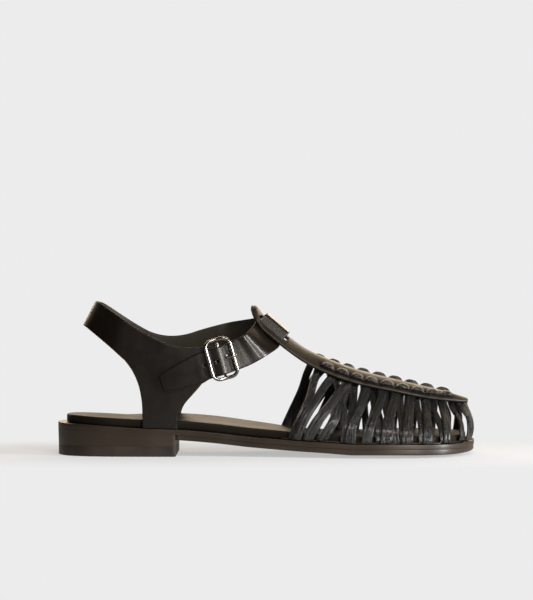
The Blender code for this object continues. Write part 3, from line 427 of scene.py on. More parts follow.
# Soft calf for the sole of the foot: matt with a low sheen, fine pores and faint pressed creases.
look = blank_look("footbed_calf")
where = node(look, "ShaderNodeTexCoord", {})["Object"]
cloud = node(look, "ShaderNodeTexNoise", {"Vector": where, "Scale": 1 / (38 * MM), "Detail": 5.0})["Fac"]
pores = {"Vector": where, "Scale": 1 / (0.9 * MM)}
pores = node(look, "ShaderNodeTexVoronoi", pores, feature="DISTANCE_TO_EDGE")["Distance"]
creases = node(look, "ShaderNodeTexNoise", {"Vector": where, "Scale": 1 / (8 * MM), "Detail": 5.0})["Fac"]
patch = node(look, "ShaderNodeMapRange", {"Value": cloud, "From Min": 0.35, "From Max": 0.7})[0]
tint = {0: patch, 6: linear("#15110d"), 7: linear("#231c15")}
tint = node(look, "ShaderNodeMix", tint, data_type="RGBA")[2]
gloss = node(look, "ShaderNodeMapRange", {"Value": patch, "To Min": 0.48, "To Max": 0.60})[0]
pitted = node(look, "ShaderNodeMapRange", {"Value": pores, "From Max": 0.3})[0]
pitted = node(look, "ShaderNodeBump", {"Height": pitted, "Strength": 0.3, "Distance": 0.09 * MM})[0]
creased = {"Height": creases, "Strength": 0.35, "Distance": 0.35 * MM, "Normal": pitted}
creased = node(look, "ShaderNodeBump", creased)[0]
shader = {"Base Color": tint, "Roughness": gloss, "Specular IOR Level": 0.18, "Normal": creased}
shader = node(look, "ShaderNodeBsdfPrincipled", shader)[0]
node(look, "ShaderNodeOutputMaterial", {"Surface": shader})
built("insole_pad", points, faces, [look], "insole", marks=marks)

# The T-bar is a tongue of two-ply calf down the middle of the foot, arched over the instep. Its
# rear end is cut blunt with round corners, and the ankle strap goes through its two slits.
TOE_HEIGHT = 34.5 * MM
INSTEP_HEIGHT = 92.5 * MM
TBAR_HALF_WIDTH = 16 * MM
TBAR_THICK = 2.0 * MM
TBAR_BACK, TBAR_TIP = 0.463, 0.985
TBAR_SHIFT_BACK, TBAR_SHIFT_TIP = 0.02, 0.055
TBAR_ARCH_POWER = 1.7
TBAR_ROUND, TBAR_BLUNT = 0.030, 2.4
TBAR_END_SHARE = 0.40
TBAR_TIP_FROM = 0.985
TBAR_RIM = 0.7 * MM
TBAR_SOFT_EDGE, TBAR_SHARP = 0.22 * MM, np.radians(40)
BED_REACH, BED_NARROWING = 0.05, 0.45
TBAR_CROWN, CROWN_AT, CROWN_REACH = 2.6 * MM, 0.026, 0.021
STRAP_WIDTH = 18 * MM
STRAP_START = 0.062
STRAP_SLOPE = 0.80
STRAP_END = STRAP_START + STRAP_WIDTH * STRAP_SLOPE / (LENGTH * (TBAR_TIP - TBAR_BACK))
SLIT_NEAR, SLIT_FAR, SLIT_SLANT = 0.27, 0.76, 0.018
SLIT_EXTRA, SLIT_REACH = 1.4 * MM, 4 * MM

# Along is the share of the way from the rear end to the tip, height a share of the way from
# TOE_HEIGHT up to INSTEP_HEIGHT, and half widths and drops of the edges shares of TBAR_HALF_WIDTH.
TBAR = [
    {"along": 0.00, "height": 1.000, "outer": 0.88, "inner": 0.84, "drop_out": 0.52, "drop_in": 0.40},
    {"along": 0.08, "height": 0.862, "outer": 0.96, "inner": 0.92, "drop_out": 0.56, "drop_in": 0.44},
    {"along": 0.16, "height": 0.700, "outer": 0.98, "inner": 0.94, "drop_out": 0.52, "drop_in": 0.44},
    {"along": 0.25, "height": 0.545, "outer": 0.98, "inner": 0.94, "drop_out": 0.50, "drop_in": 0.34},
    {"along": 0.36, "height": 0.425, "outer": 1.00, "inner": 0.96, "drop_out": 0.53, "drop_in": 0.20},
    {"along": 0.50, "height": 0.305, "outer": 1.04, "inner": 1.00, "drop_out": 0.48, "drop_in": 0.12},
    {"along": 0.65, "height": 0.215, "outer": 1.00, "inner": 0.96, "drop_out": 0.42, "drop_in": 0.10},
    {"along": 0.80, "height": 0.130, "outer": 0.84, "inner": 0.80, "drop_out": 0.38, "drop_in": 0.10},
    {"along": 0.92, "height": 0.060, "outer": 0.58, "inner": 0.56, "drop_out": 0.26, "drop_in": 0.10},
    {"along": 1.00, "height": 0.000, "outer": 0.30, "inner": 0.30, "drop_out": 0.10, "drop_in": 0.06},
]

# The turns of the strips that show on each edge of the T-bar, as shares of LENGTH.
TURNS = {
    OUTER: (0.646, 0.681, 0.716, 0.750, 0.788, 0.826, 0.862, 0.898, 0.932),
    INNER: (0.628, 0.664, 0.699, 0.735, 0.774, 0.813, 0.852, 0.890, 0.928),
}


def tbar_rounding(share):
    """How much narrower the strap's bed is near the rear end, by a square law."""
    return 1 - np.maximum(0, 1 - share / BED_REACH) ** 2 * BED_NARROWING


def tbar_raw(share, across):
    """The T-bar's upper face. Across runs from -1 at its outer edge to +1, and the height falls
    from the ridge with a power of it. The rear end has a crown along it, a bell."""
    outer = np.less(across, 0)
    half_out, half_in = (curve(TBAR, column, "along", share) for column in ("outer", "inner"))
    drop_out, drop_in = (curve(TBAR, column, "along", share) for column in ("drop_out", "drop_in"))
    half, drop = np.where(outer, half_out, half_in), np.where(outer, drop_out, drop_in)
    reach = np.abs(across) * tbar_rounding(share)
    x = LENGTH * (TBAR_BACK + (TBAR_TIP - TBAR_BACK) * share - 0.5)
    y = BALL_WIDTH * (TBAR_SHIFT_BACK + (TBAR_SHIFT_TIP - TBAR_SHIFT_BACK) * share)
    y = y + np.sign(across) * reach * half * TBAR_HALF_WIDTH
    rise = TOE_HEIGHT + (INSTEP_HEIGHT - TOE_HEIGHT) * curve(TBAR, "height", "along", share)
    crown = TBAR_CROWN * np.exp(-(((share - CROWN_AT) / CROWN_REACH) ** 2))
    z = rise + crown - drop * TBAR_HALF_WIDTH * reach**TBAR_ARCH_POWER
    return np.stack(np.broadcast_arrays(x, y, z), -1)


def tbar_point(share, across, lift=0.0):
    """A point lifted off the upper face along its normal, the cross product of its two slopes."""
    step = 0.01
    ahead = tbar_raw(np.minimum(share + step, 1), across)
    ahead = ahead - tbar_raw(np.maximum(share - step, 0), across)
    beside = tbar_raw(share, across + step) - tbar_raw(share, across - step)
    return tbar_raw(share, across) + unit(np.cross(ahead, beside)) * np.asarray(lift)[..., None]


def inset_across(share, side, distance):
    """The place across the T-bar at a distance inside its edge."""
    half = curve(TBAR, "outer" if side == OUTER else "inner", "along", share) * TBAR_HALF_WIDTH
    return side * np.maximum(1 - distance / half, 0)


def tbar_dimples(share, across):
    """How far the leather is drawn in at both ends of each turn of the strips, by small bells."""
    depth, radius, from_edge = 0.4 * MM, 1.7 * MM, 3.0 * MM
    drawn = 0.0
    place = TBAR_BACK + (TBAR_TIP - TBAR_BACK) * share
    half = TBAR_HALF_WIDTH * curve(TBAR, "outer", "along", share)
    for side, turns in TURNS.items():
        gaps = np.gradient(turns) / 2
        for slot in np.concatenate([turns - gaps, turns + gaps[-1:]]):
            away = np.hypot((place - slot) * LENGTH, (across - side) * half + side * from_edge)
            drawn = drawn + np.exp(-((away / radius) ** 2))
    return depth * np.minimum(drawn, 1)


# The mesh's rows get closer towards both ends. Each row runs over the upper face, round a rim of
# half a circle, back along the underside and up the other rim.
round_shares = TBAR_ROUND * (1 - np.cos(np.pi / 2 * np.arange(17) / 16))
tip_shares = TBAR_TIP_FROM + (1 - TBAR_TIP_FROM) * np.sin(np.pi / 2 * np.arange(1, 7) / 6)
even_shares = np.linspace(TBAR_ROUND, TBAR_TIP_FROM, 131)[1:]
shares = np.concatenate([round_shares, even_shares, tip_shares])[:, None]
left = np.maximum(0, 1 - shares / TBAR_ROUND)
blunt = np.maximum((1 - left**TBAR_BLUNT) ** (1 / TBAR_BLUNT), TBAR_END_SHARE)
reach = blunt / tbar_rounding(shares)
edge = TBAR_RIM / (curve(TBAR, "outer", "along", shares) * TBAR_HALF_WIDTH)
places = (reach - edge) * np.linspace(-1, 1, 31)
angle = np.pi * np.arange(1, 6) / 6
out, up = np.sin(angle), np.cos(angle)
drawn = tbar_dimples(shares, places)
rim = tbar_point(shares, reach - edge + edge * out, -TBAR_THICK * (1 - up) / 2)
near_rim = tbar_point(shares, edge - reach - edge * out, -TBAR_THICK * (1 + up) / 2)
under = tbar_point(shares, places, -TBAR_THICK)[:, ::-1]
points = np.concatenate([tbar_point(shares, places, -drawn), rim, under, near_rim], axis=1)
mesh = bpy.data.meshes.new("tbar_leather")
mesh.from_pydata(points.reshape(-1, 3).tolist(), [], ring_faces(*points.shape[:2]))
blank = bpy.data.objects.new("blank", mesh)


def cut_away(piece, cutters):
    """The piece's mesh less the closed shapes of the cutters' points."""
    build = bmesh.new()
    build.from_mesh(piece.data)
    bmesh.ops.remove_doubles(build, verts=build.verts, dist=2e-6)
    bmesh.ops.recalc_face_normals(build, faces=build.faces)
    build.to_mesh(piece.data)
    build.free()
    scene = bpy.context.scene.collection.objects
    if piece.name not in scene:
        scene.link(piece)
    tools = []
    for cut_points in cutters:
        shape = bpy.data.meshes.new("cutter")
        shape.from_pydata(cut_points.reshape(-1, 3).tolist(), [], ring_faces(*cut_points.shape[:2]))
        build = bmesh.new()
        build.from_mesh(shape)
        bmesh.ops.recalc_face_normals(build, faces=build.faces)
        build.to_mesh(shape)
        build.free()
        tool = bpy.data.objects.new("cutter", shape)
        scene.link(tool)
        cut = piece.modifiers.new("cut", "BOOLEAN")
        cut.operation, cut.solver, cut.object = "DIFFERENCE", "EXACT", tool
        tools.append(tool)
    graph = bpy.context.evaluated_depsgraph_get()
    final = bpy.data.meshes.new_from_object(piece.evaluated_get(graph))
    piece.modifiers.clear()
    for tool in tools:
        bpy.data.objects.remove(tool)
    return final


def slit(side):
    """A slit's cutter: a slanted bar through the leather beside the strap."""
    extra = SLIT_EXTRA / (LENGTH * (TBAR_TIP - TBAR_BACK))
    share = np.linspace(STRAP_START - extra, STRAP_END + extra, 9)[:, None]
    share = share + np.array([0, -SLIT_SLANT, -SLIT_SLANT, 0])
    across = side * np.array([SLIT_NEAR, SLIT_FAR, SLIT_FAR, SLIT_NEAR])
    return tbar_point(share, across, np.array([1, 1, -1, -1]) * SLIT_REACH)


def calf(name, dark, light, rough, coat):
    """Glazed black calf: a thin hard finish over pores, soft clouds of polish and shallow creases."""
    pore, cloud_size, crease = 1.1 * MM, 26 * MM, 6.5 * MM
    look = blank_look(name)
    where = node(look, "ShaderNodeTexCoord", {})["Object"]
    pores = {"Vector": where, "Scale": 1 / pore}
    pores = node(look, "ShaderNodeTexVoronoi", pores, feature="DISTANCE_TO_EDGE")["Distance"]
    cloud = {"Vector": where, "Scale": 1 / cloud_size, "Detail": 4.0}
    cloud = node(look, "ShaderNodeTexNoise", cloud)["Fac"]
    creases = {"Vector": where, "Scale": 1 / crease, "Detail": 6.0, "Roughness": 0.62}
    creases = node(look, "ShaderNodeTexNoise", creases)["Fac"]
    patch = node(look, "ShaderNodeMapRange", {"Value": cloud, "From Min": 0.35, "From Max": 0.7})[0]
    tint = {0: patch, 6: linear(dark), 7: linear(light)}
    tint = node(look, "ShaderNodeMix", tint, data_type="RGBA")[2]
    faint = node(look, "ShaderNodeMath", {0: creases, 1: 0.4}, operation="MULTIPLY")[0]
    mixed = node(look, "ShaderNodeMath", {0: cloud, 1: faint}, operation="ADD")[0]
    gloss = {"Value": mixed, "From Min": 0.45, "From Max": 0.95}
    gloss |= {"To Min": rough - 0.07, "To Max": rough + 0.1}
    gloss = node(look, "ShaderNodeMapRange", gloss)[0]
    pitted = node(look, "ShaderNodeMapRange", {"Value": pores, "From Max": 0.28})[0]
    pitted = node(look, "ShaderNodeBump", {"Height": pitted, "Strength": 0.3, "Distance": 0.08 * MM})[0]
    creased = {"Height": creases, "Strength": 0.3, "Distance": 0.26 * MM, "Normal": pitted}
    creased = node(look, "ShaderNodeBump", creased)[0]
    shader = {"Base Color": tint, "Roughness": gloss, "Normal": creased}
    shader |= {"Coat Weight": coat, "Coat Roughness": 0.2}
    shader = node(look, "ShaderNodeBsdfPrincipled", shader)[0]
    node(look, "ShaderNodeOutputMaterial", {"Surface": shader})
    return look


TBAR_LOOK = calf("tbar_calf", "#1a150f", "#292117", 0.42, 0.10)
final = cut_away(blank, [slit(OUTER), slit(INNER)])
bpy.data.objects.remove(blank)
final.name = "tbar_leather"
final.shade_smooth()
piece = placed("tbar_leather", final, [TBAR_LOOK], "t_bar")
bevel = piece.modifiers.new("soft edges", "BEVEL")
bevel.width, bevel.segments = TBAR_SOFT_EDGE, 2
bevel.limit_method, bevel.angle_limit = "ANGLE", TBAR_SHARP

# The cage is woven of strips of glazed calf with both edges turned under. Each one is lasted under
# the sole's edge, crosses its neighbours, goes up through a slot and turns over the T-bar's edge.
STRIP_WIDTH = 5.6 * MM
STRIP_THICK = 1.7 * MM
STRIP_STEP = 1.0 * MM
STRIP_RISE = 0.42
STRIP_BULGE = 2.0 * MM
TOE_BULGE, TOE_FROM, TOE_REACH = 3.0 * MM, 0.9, 0.1
BULGE_OF_HEIGHT = 0.04
STRIP_SLANT = 0.24
ROOF_BY_HEIGHT, ROOF_BY_SPREAD = 0.55, 0.45
STRIP_PLUMP = 1.3
FOOT_INSET = 3.6 * MM
SLOT_FROM_EDGE = 4.4 * MM
MARGIN_LIFT = 0.35 * MM
MARKS_APART = 10

# Each strip, in the order of their feet. The five columns from foot to top are its place along the
# cage, 0 at the waist and 1 at the toe, at even steps of its way up. Lay is its height over the
# innermost strips in steps of STRIP_STEP, and wide a share of STRIP_WIDTH.
WEAVE = [
    {"foot": 0.056, "low": 0.073, "middle": 0.080, "high": 0.068, "top": 0.062, "lay": 0, "wide": 0.92},
    {"foot": 0.075, "low": 0.090, "middle": 0.114, "high": 0.132, "top": 0.163, "lay": 1, "wide": 1.00},
    {"foot": 0.131, "low": 0.160, "middle": 0.199, "high": 0.224, "top": 0.263, "lay": 1, "wide": 1.05},
    {"foot": 0.200, "low": 0.235, "middle": 0.248, "high": 0.253, "top": 0.275, "lay": 0, "wide": 1.00},
    {"foot": 0.312, "low": 0.299, "middle": 0.269, "high": 0.213, "top": 0.169, "lay": 0, "wide": 0.75},
    {"foot": 0.331, "low": 0.327, "middle": 0.320, "high": 0.304, "top": 0.288, "lay": 0, "wide": 0.92},
    {"foot": 0.344, "low": 0.340, "middle": 0.357, "high": 0.363, "top": 0.363, "lay": 1, "wide": 1.05},
    {"foot": 0.494, "low": 0.475, "middle": 0.447, "high": 0.419, "top": 0.381, "lay": 0, "wide": 0.80},
    {"foot": 0.425, "low": 0.430, "middle": 0.453, "high": 0.465, "top": 0.475, "lay": 1, "wide": 1.05},
    {"foot": 0.581, "low": 0.555, "middle": 0.514, "high": 0.494, "top": 0.494, "lay": 0, "wide": 0.75},
    {"foot": 0.525, "low": 0.525, "middle": 0.531, "high": 0.547, "top": 0.556, "lay": 1, "wide": 1.20},
    {"foot": 0.613, "low": 0.607, "middle": 0.596, "high": 0.588, "top": 0.588, "lay": 0, "wide": 0.85},
    {"foot": 0.631, "low": 0.631, "middle": 0.636, "high": 0.643, "top": 0.650, "lay": 1, "wide": 1.10},
    {"foot": 0.713, "low": 0.710, "middle": 0.701, "high": 0.691, "top": 0.688, "lay": 0, "wide": 0.80},
    {"foot": 0.738, "low": 0.738, "middle": 0.738, "high": 0.746, "top": 0.756, "lay": 1, "wide": 1.05},
    {"foot": 0.831, "low": 0.823, "middle": 0.805, "high": 0.787, "top": 0.775, "lay": 0, "wide": 0.85},
    {"foot": 0.844, "low": 0.844, "middle": 0.847, "high": 0.847, "top": 0.844, "lay": 1, "wide": 1.00},
    {"foot": 0.938, "low": 0.933, "middle": 0.931, "high": 0.914, "top": 0.913, "lay": 0, "wide": 0.70},
    {"foot": 0.969, "low": 0.975, "middle": 0.981, "high": 0.967, "top": 0.950, "lay": 1, "wide": 1.00},
]
TOE_STRIP = {"foot": 1.0, "low": 1.0, "middle": 1.0, "high": 1.0, "top": 1.0, "lay": 1, "wide": 1.0}
WEAVE_COLUMNS = ("foot", "low", "middle", "high", "top")
LAST_AT_SIDE = 0.93

# Where the cage's waist and toe are along the sole and along the T-bar, as shares of LENGTH.
CAGE_SOLE = {OUTER: (0.53, 0.9999), INNER: (0.512, 0.985)}
CAGE_TBAR = {OUTER: (0.606, 0.979), INNER: (0.592, 0.970)}


def strip_line(place, way, lay, side):
    """A strip's middle: a cubic Bezier curve from its foot on the sole, which first leaves upwards
    and outwards, to its end under the T-bar, which it meets along the T-bar's slope."""
    first, last = CAGE_SOLE[side]
    start, end = CAGE_TBAR[side]
    foot = first + (last - first) * place
    share = (start + (end - start) * place - TBAR_BACK) / (TBAR_TIP - TBAR_BACK)
    x, y = outline(turn_of(foot), side, FOOT_INSET)
    edge_at = np.stack(outline(turn_of(foot), side, 0.0), -1)
    begin = np.stack([x, y, sole_level(x, y) + GAP], -1)
    depth = TBAR_THICK + 2 * GAP + STRIP_THICK / 2 + (1 - lay) * STRIP_STEP
    close = tbar_point(share, inset_across(share, side, SLOT_FROM_EDGE), -depth)
    rim = tbar_point(share, side + 0 * share, -depth)
    outward = np.zeros_like(begin)
    outward[..., :2] = unit(edge_at - begin[..., :2])
    height = (close - begin)[..., 2:]
    spread = np.linalg.norm((close - begin)[..., :2], axis=-1, keepdims=True)
    at_toe = np.maximum(foot - TOE_FROM, 0)[..., None] / TOE_REACH
    bulge = STRIP_BULGE + TOE_BULGE * at_toe + BULGE_OF_HEIGHT * height
    slant = (close - begin) * np.array([STRIP_SLANT, 0, 0])
    lean = np.array([0, 0, 1]) * STRIP_RISE * height + outward * bulge + slant
    under_bar = ROOF_BY_HEIGHT * height + ROOF_BY_SPREAD * spread
    roof = unit(rim - close) * STRIP_RISE * under_bar - slant
    way = np.asarray(way)[..., None]
    low = (1 - way) ** 3 * begin + 3 * (1 - way) ** 2 * way * (begin + lean)
    return low + 3 * (1 - way) * way**2 * (close + roof) + way**3 * close


def strip_frames(strip, side, ways):
    """A strip's middle at shares of its way, with unit vectors across it and off the foot, from the
    cross products of its own slope and the cage's."""
    line = [{"way": index / 4, "place": strip[name]} for index, name in enumerate(WEAVE_COLUMNS)]

    def middle(way, aside=0.0):
        place = np.clip(curve(line, "place", "way", way) + aside, 0, 1)
        return strip_line(place, way, strip["lay"], side)

    step, place_step = 0.02, 0.008
    along = unit(middle(np.minimum(ways + step, 1)) - middle(np.maximum(ways - step, 0)))
    beside = unit(middle(ways, place_step) - middle(ways, -place_step))
    off = unit(np.cross(beside, along))
    outward = np.array([0.3 * (strip["foot"] > LAST_AT_SIDE), side, 0.6])
    off = off * np.where(off @ outward < 0, -1, 1)[:, None]
    raised = (strip["lay"] * STRIP_STEP * (1 - ways))[:, None]
    return middle(ways) + off * raised, unit(np.cross(off, along)), off


def strips(name, rows, side, look, seed):
    """The strips of one side. Each is its section carried along its middle: a flattened round of
    powers under one, with two folds down its face that are bells across it and wander along it."""
    flat_power, side_power = 0.75, 0.8
    first_reach, second_reach, fold_depth = 0.13, 0.11, 0.30 * MM
    foot_width, taper = 1.12, 0.2
    most_roll, width_range = 0.16, (0.96, 1.05)
    random = np.random.default_rng(seed)
    ways = np.linspace(0, 1, 41)
    angle = 2 * np.pi * np.arange(36) / 36
    across = np.sign(np.cos(angle)) * np.abs(np.cos(angle)) ** flat_power
    up = np.sign(np.sin(angle)) * np.abs(np.sin(angle)) ** side_power
    skins, faces, marks = [], [], []
    for number, strip in enumerate(rows):
        phase, second = random.uniform(0, 2 * np.pi, 2)
        swing, wide = random.uniform(-most_roll, most_roll), random.uniform(*width_range)
        middle, width, off = strip_frames(strip, side, ways)
        steps = np.linalg.norm(np.diff(middle, axis=0), axis=1)
        reach = np.concatenate([[0], np.cumsum(steps)])
        uneven = 1 + 0.05 * np.sin(phase + 7 * ways)
        size = wide * strip["wide"] * uneven * (foot_width - taper * ways)
        roll = (swing * np.sin(np.pi * ways + phase))[:, None]
        turned = width * np.cos(roll) + off * np.sin(roll)
        raised = off * np.cos(roll) - width * np.sin(roll)
        first_fold = 0.30 * np.sin(phase + 2.6 * ways)[:, None] + 0.18
        second_fold = 0.22 * np.sin(second + 3.4 * ways)[:, None] - 0.46
        deep = fold_depth * (1 + 0.5 * np.sin(second + 9 * ways))[:, None]
        fold = deep * np.exp(-(((across - first_fold) / first_reach) ** 2))
        fold = fold + 0.8 * deep * np.exp(-(((across - second_fold) / second_reach) ** 2))
        aside = across * (STRIP_WIDTH * size)[:, None] / 2
        high = up * STRIP_THICK * STRIP_PLUMP / 2 - fold * (up > 0)
        skin = middle[:, None] + turned[:, None] * aside[..., None]
        skin = skin + raised[:, None] * high[..., None]
        floor = sole_level(skin[..., 0], skin[..., 1]) + MARGIN_LIFT
        skin[..., 2] = np.maximum(skin[..., 2], floor)
        faces += ring_faces(*skin.shape[:2], offset=number * len(ways) * len(angle))
        skins.append(skin)
        along = np.broadcast_to(reach[:, None], aside.shape)
        marks.append(np.stack([aside / MM + MARKS_APART * number, along / MM], -1))
    built(name, np.array(skins), faces, [look], "woven_cage", marks=np.array(marks))


# Glazed calf folded into strips: a glassy finish that has cracked across the lengthwise pleats,
# so the light breaks into short grains on the bends. PLEAT and CRACK are sizes in mm, across the
# strip and along it, and the cracks are twice their real size to show.
PLEAT, CRACK = (0.95, 11.0), (1.5, 0.75)
look = blank_look("glazed_strip_calf")
where = node(look, "ShaderNodeTexCoord", {})
long_way = {"Vector": where["UV"], "Scale": (1 / PLEAT[0], 1 / PLEAT[1], 1)}
long_way = node(look, "ShaderNodeMapping", long_way)[0]
pleats = {"Vector": long_way, "Scale": 1.0, "Detail": 3.0, "Roughness": 0.6}
pleats = node(look, "ShaderNodeTexNoise", pleats)["Fac"]
cross_way = {"Vector": where["UV"], "Scale": (1 / CRACK[0], 1 / CRACK[1], 1)}
cross_way = node(look, "ShaderNodeMapping", cross_way)[0]
cracks = {"Vector": cross_way, "Scale": 1.0, "Detail": 5.0, "Roughness": 0.65}
cracks = node(look, "ShaderNodeTexNoise", cracks)["Fac"]
cloud = {"Vector": where["Object"], "Scale": 1 / (18 * MM), "Detail": 3.0}
cloud = node(look, "ShaderNodeTexNoise", cloud)["Fac"]
ridge = node(look, "ShaderNodeMapRange", {"Value": pleats, "From Min": 0.36, "From Max": 0.64})[0]
# The base colour follows the pleats' height: painted shade in their troughs and a painted highlight on
# their ridges.
tint = {0: ridge, 6: linear("#0d0c0b"), 7: linear("#1d1b19")}
tint = node(look, "ShaderNodeMix", tint, data_type="RGBA")[2]
gloss = {"Value": cloud, "From Min": 0.3, "From Max": 0.7, "To Min": 0.24, "To Max": 0.34}
gloss = node(look, "ShaderNodeMapRange", gloss)[0]
pleated = node(look, "ShaderNodeBump", {"Height": ridge, "Strength": 0.9, "Distance": 0.6 * MM})[0]
cracked = {"Height": cracks, "Strength": 0.85, "Distance": 0.95 * MM, "Normal": pleated}
cracked = node(look, "ShaderNodeBump", cracked)[0]
shader = {"Base Color": tint, "Roughness": gloss, "Normal": cracked}
shader |= {"Coat Weight": 0.4, "Coat Roughness": 0.16}
shader = node(look, "ShaderNodeBsdfPrincipled", shader)[0]
node(look, "ShaderNodeOutputMaterial", {"Surface": shader})
STRIP_LOOK = look
strips("outer_strips", [*WEAVE, TOE_STRIP], OUTER, STRIP_LOOK, 11)
strips("inner_strips", WEAVE, INNER, STRIP_LOOK, 12)

# The turns are where the strips come up through a slot, ride along the T-bar's edge as a plump
# bead and go down through the next slot.
TURN_WIDTH = 3.0 * MM
TURN_RISE = 1.9 * MM
TURN_FROM_EDGE, TURN_SWING = 3.4 * MM, 0.5 * MM
TURN_REACH = 0.485
TURN_DIP = 0.6 * MM
TURN_TAPER = 0.55
TURN_PLUMP_WIDE, TURN_PLUMP_HIGH = 0.78, 0.95
TURN_FOLD, TURN_FOLD_AT, TURN_FOLD_REACH = 0.22 * MM, 0.15, 0.2

# A turn's marks lie apart from the strips' own and are closer, so its pleats differ from theirs.
TURN_MARKS_FROM, TURN_MARKS_REACH, TURN_MARKS_WIDER = 90, 4.5, 1.4
skins, marks = [], []
angle = 2 * np.pi * np.arange(16) / 16
way = np.linspace(-1, 1, 17)
for side, turns in TURNS.items():
    turns, gaps = np.array(turns)[:, None], np.gradient(turns)[:, None]
    share = (turns + TURN_REACH * gaps * way - TBAR_BACK) / (TBAR_TIP - TBAR_BACK)
    across = inset_across(share, side, TURN_FROM_EDGE + TURN_SWING * (1 - way**2))
    rise = 0.6 * TURN_RISE * (1 - np.abs(way) ** 3) - TURN_DIP * np.abs(way) ** 3
    here = tbar_point(share, across, rise + 0 * share)
    ahead = unit(tbar_point(share + 0.004, across) - tbar_point(share - 0.004, across))
    off = unit(tbar_point(share, across, MM + 0 * share) - tbar_point(share, across))
    beside = unit(np.cross(off, ahead))
    full = (1 - TURN_TAPER * np.abs(way) ** 3)[:, None]
    wide = TURN_PLUMP_WIDE * TURN_WIDTH * full * np.cos(angle)
    fold = np.exp(-(((np.cos(angle) - TURN_FOLD_AT) / TURN_FOLD_REACH) ** 2))
    fold = TURN_FOLD * fold * (np.sin(angle) > 0)
    high = TURN_PLUMP_HIGH * TURN_RISE * full * np.sin(angle) - fold
    skin = here[:, :, None] + beside[:, :, None] * wide[..., None]
    skins.append(skin + off[:, :, None] * high[..., None])
    along = np.broadcast_to(way[:, None] * TURN_MARKS_REACH + TURN_MARKS_FROM, wide.shape)
    bead_marks = np.stack([wide / MM * TURN_MARKS_WIDER, along], -1)
    moved = MARKS_APART * np.arange(len(turns))[:, None, None, None]
    marks.append(bead_marks + np.array([1, 0]) * moved)
skins, marks = np.concatenate(skins), np.concatenate(marks)
faces = []
for number in range(len(skins)):
    faces += ring_faces(*skins.shape[1:3], offset=number * skins.shape[1] * skins.shape[2])
built("strip_turns", skins, faces, [STRIP_LOOK], "woven_cage", marks=marks)

# The lasted margin is the flat band of leather between the strips' feet and the insole's side. It
# holds the strips together, and was pulled round the last and glued down on the midsole.
MARGIN_THICK = 1.0 * MM
MARGIN_OUTSIDE = 1.0 * MM
MARGIN_WAY = {OUTER: (0.53, 0.99), INNER: (0.99, 0.506)}
outer_way, inner_way = (np.linspace(*MARGIN_WAY[side], 61) for side in (OUTER, INNER))
along = np.concatenate([outer_way, [CAGE_SOLE[OUTER][1]], inner_way])[:, None]
side = np.where(np.arange(len(along)) <= len(outer_way), OUTER, INNER)[:, None]
first, last = FOOT_INSET - MARGIN_OUTSIDE, INSOLE_INSET - GAP
insets = np.array([first + GAP, first, first + GAP, last, last])
lifts = MARGIN_LIFT + np.array([0, 0.5, 1, 1, 0]) * MARGIN_THICK
x, y = outline(turn_of(along), side, insets)
points = np.stack([x, y, sole_level(x, y) + lifts], -1)
faces = ring_faces(*points.shape[:2])
built("lasted_margin", points, faces, [TBAR_LOOK], "woven_cage")

# The sling goes round the heel and becomes the ankle strap, all one length of two-ply calf. It
# passes over the foot through the T-bar's slits, and lies on its own start under the buckle.
STRAP_THICK = 1.8 * MM
STRAP_CLEARANCE = 0.6 * MM
STRAP_EDGE = 0.45 * MM
ANKLE_HEIGHT = 95.6 * MM
ANKLE_HALF_WIDTH = 27 * MM
HEEL_SIDE = 0.22
HEEL_BACK_LOW, HEEL_BACK_HIGH = 0.0622, 0.0924
HEEL_LOW, HEEL_HIGH = 0.84, 1.0
FRONT_STEP = 0.2
LOW_FROM, LOW_REACH, LOW_BACK = 0.18, 0.35, 0.19

# The half width of the ankle seen from above, as a share of ANKLE_HALF_WIDTH.
ANKLE_PLAN = [
    {"along": 0.22, "half": 0.975},
    {"along": 0.29, "half": 1.000},
    {"along": 0.36, "half": 0.985},
    {"along": 0.42, "half": 0.930},
    {"along": 0.50, "half": 0.760},
]

# The sling's band on each side. Place runs from 0 at the heel's back to 1 where the round part
# ends and on to the front, and top and base are shares of ANKLE_HEIGHT.
OUTER_BAND = [
    {"place": 0.00, "top": 1.000, "base": 0.840},
    {"place": 0.33, "top": 0.985, "base": 0.815},
    {"place": 0.67, "top": 0.910, "base": 0.708},
    {"place": 0.85, "top": 0.845, "base": 0.605},
    {"place": 1.00, "top": 0.785, "base": 0.520},
    {"place": 1.20, "top": 0.733, "base": 0.470},
    {"place": 1.40, "top": 0.705, "base": 0.450},
    {"place": 1.60, "top": 0.706, "base": 0.460},
    {"place": 1.75, "top": 0.710, "base": 0.505},
    {"place": 1.86, "top": 0.712, "base": 0.545},
]
INNER_BAND = [
    {"place": 0.00, "top": 1.000, "base": 0.840},
    {"place": 0.33, "top": 0.985, "base": 0.815},
    {"place": 0.67, "top": 0.905, "base": 0.708},
    {"place": 0.85, "top": 0.842, "base": 0.605},
    {"place": 1.00, "top": 0.790, "base": 0.520},
    {"place": 1.20, "top": 0.768, "base": 0.475},
    {"place": 1.40, "top": 0.777, "base": 0.500},
    {"place": 1.60, "top": 0.810, "base": 0.550},
    {"place": 1.80, "top": 0.840, "base": 0.610},
    {"place": 2.00, "top": 0.865, "base": 0.665},
]

# The strap's way across the T-bar: over is 1 above and 0 below it, and shift moves the strap
# towards the ankle, as a share of the T-bar's length.
STRAP_OVER = [
    {"across": 1.04, "over": 0.00, "shift": -0.040},
    {"across": 0.70, "over": 0.00, "shift": -0.024},
    {"across": 0.37, "over": 1.00, "shift": -0.006},
    {"across": 0.20, "over": 1.04, "shift": -0.002},
    {"across": 0.00, "over": 1.06, "shift": 0.000},
    {"across": -0.20, "over": 1.04, "shift": -0.002},
    {"across": -0.37, "over": 1.00, "shift": -0.006},
    {"across": -0.70, "over": 0.00, "shift": -0.020},
    {"across": -1.02, "over": 0.00, "shift": -0.030},
]

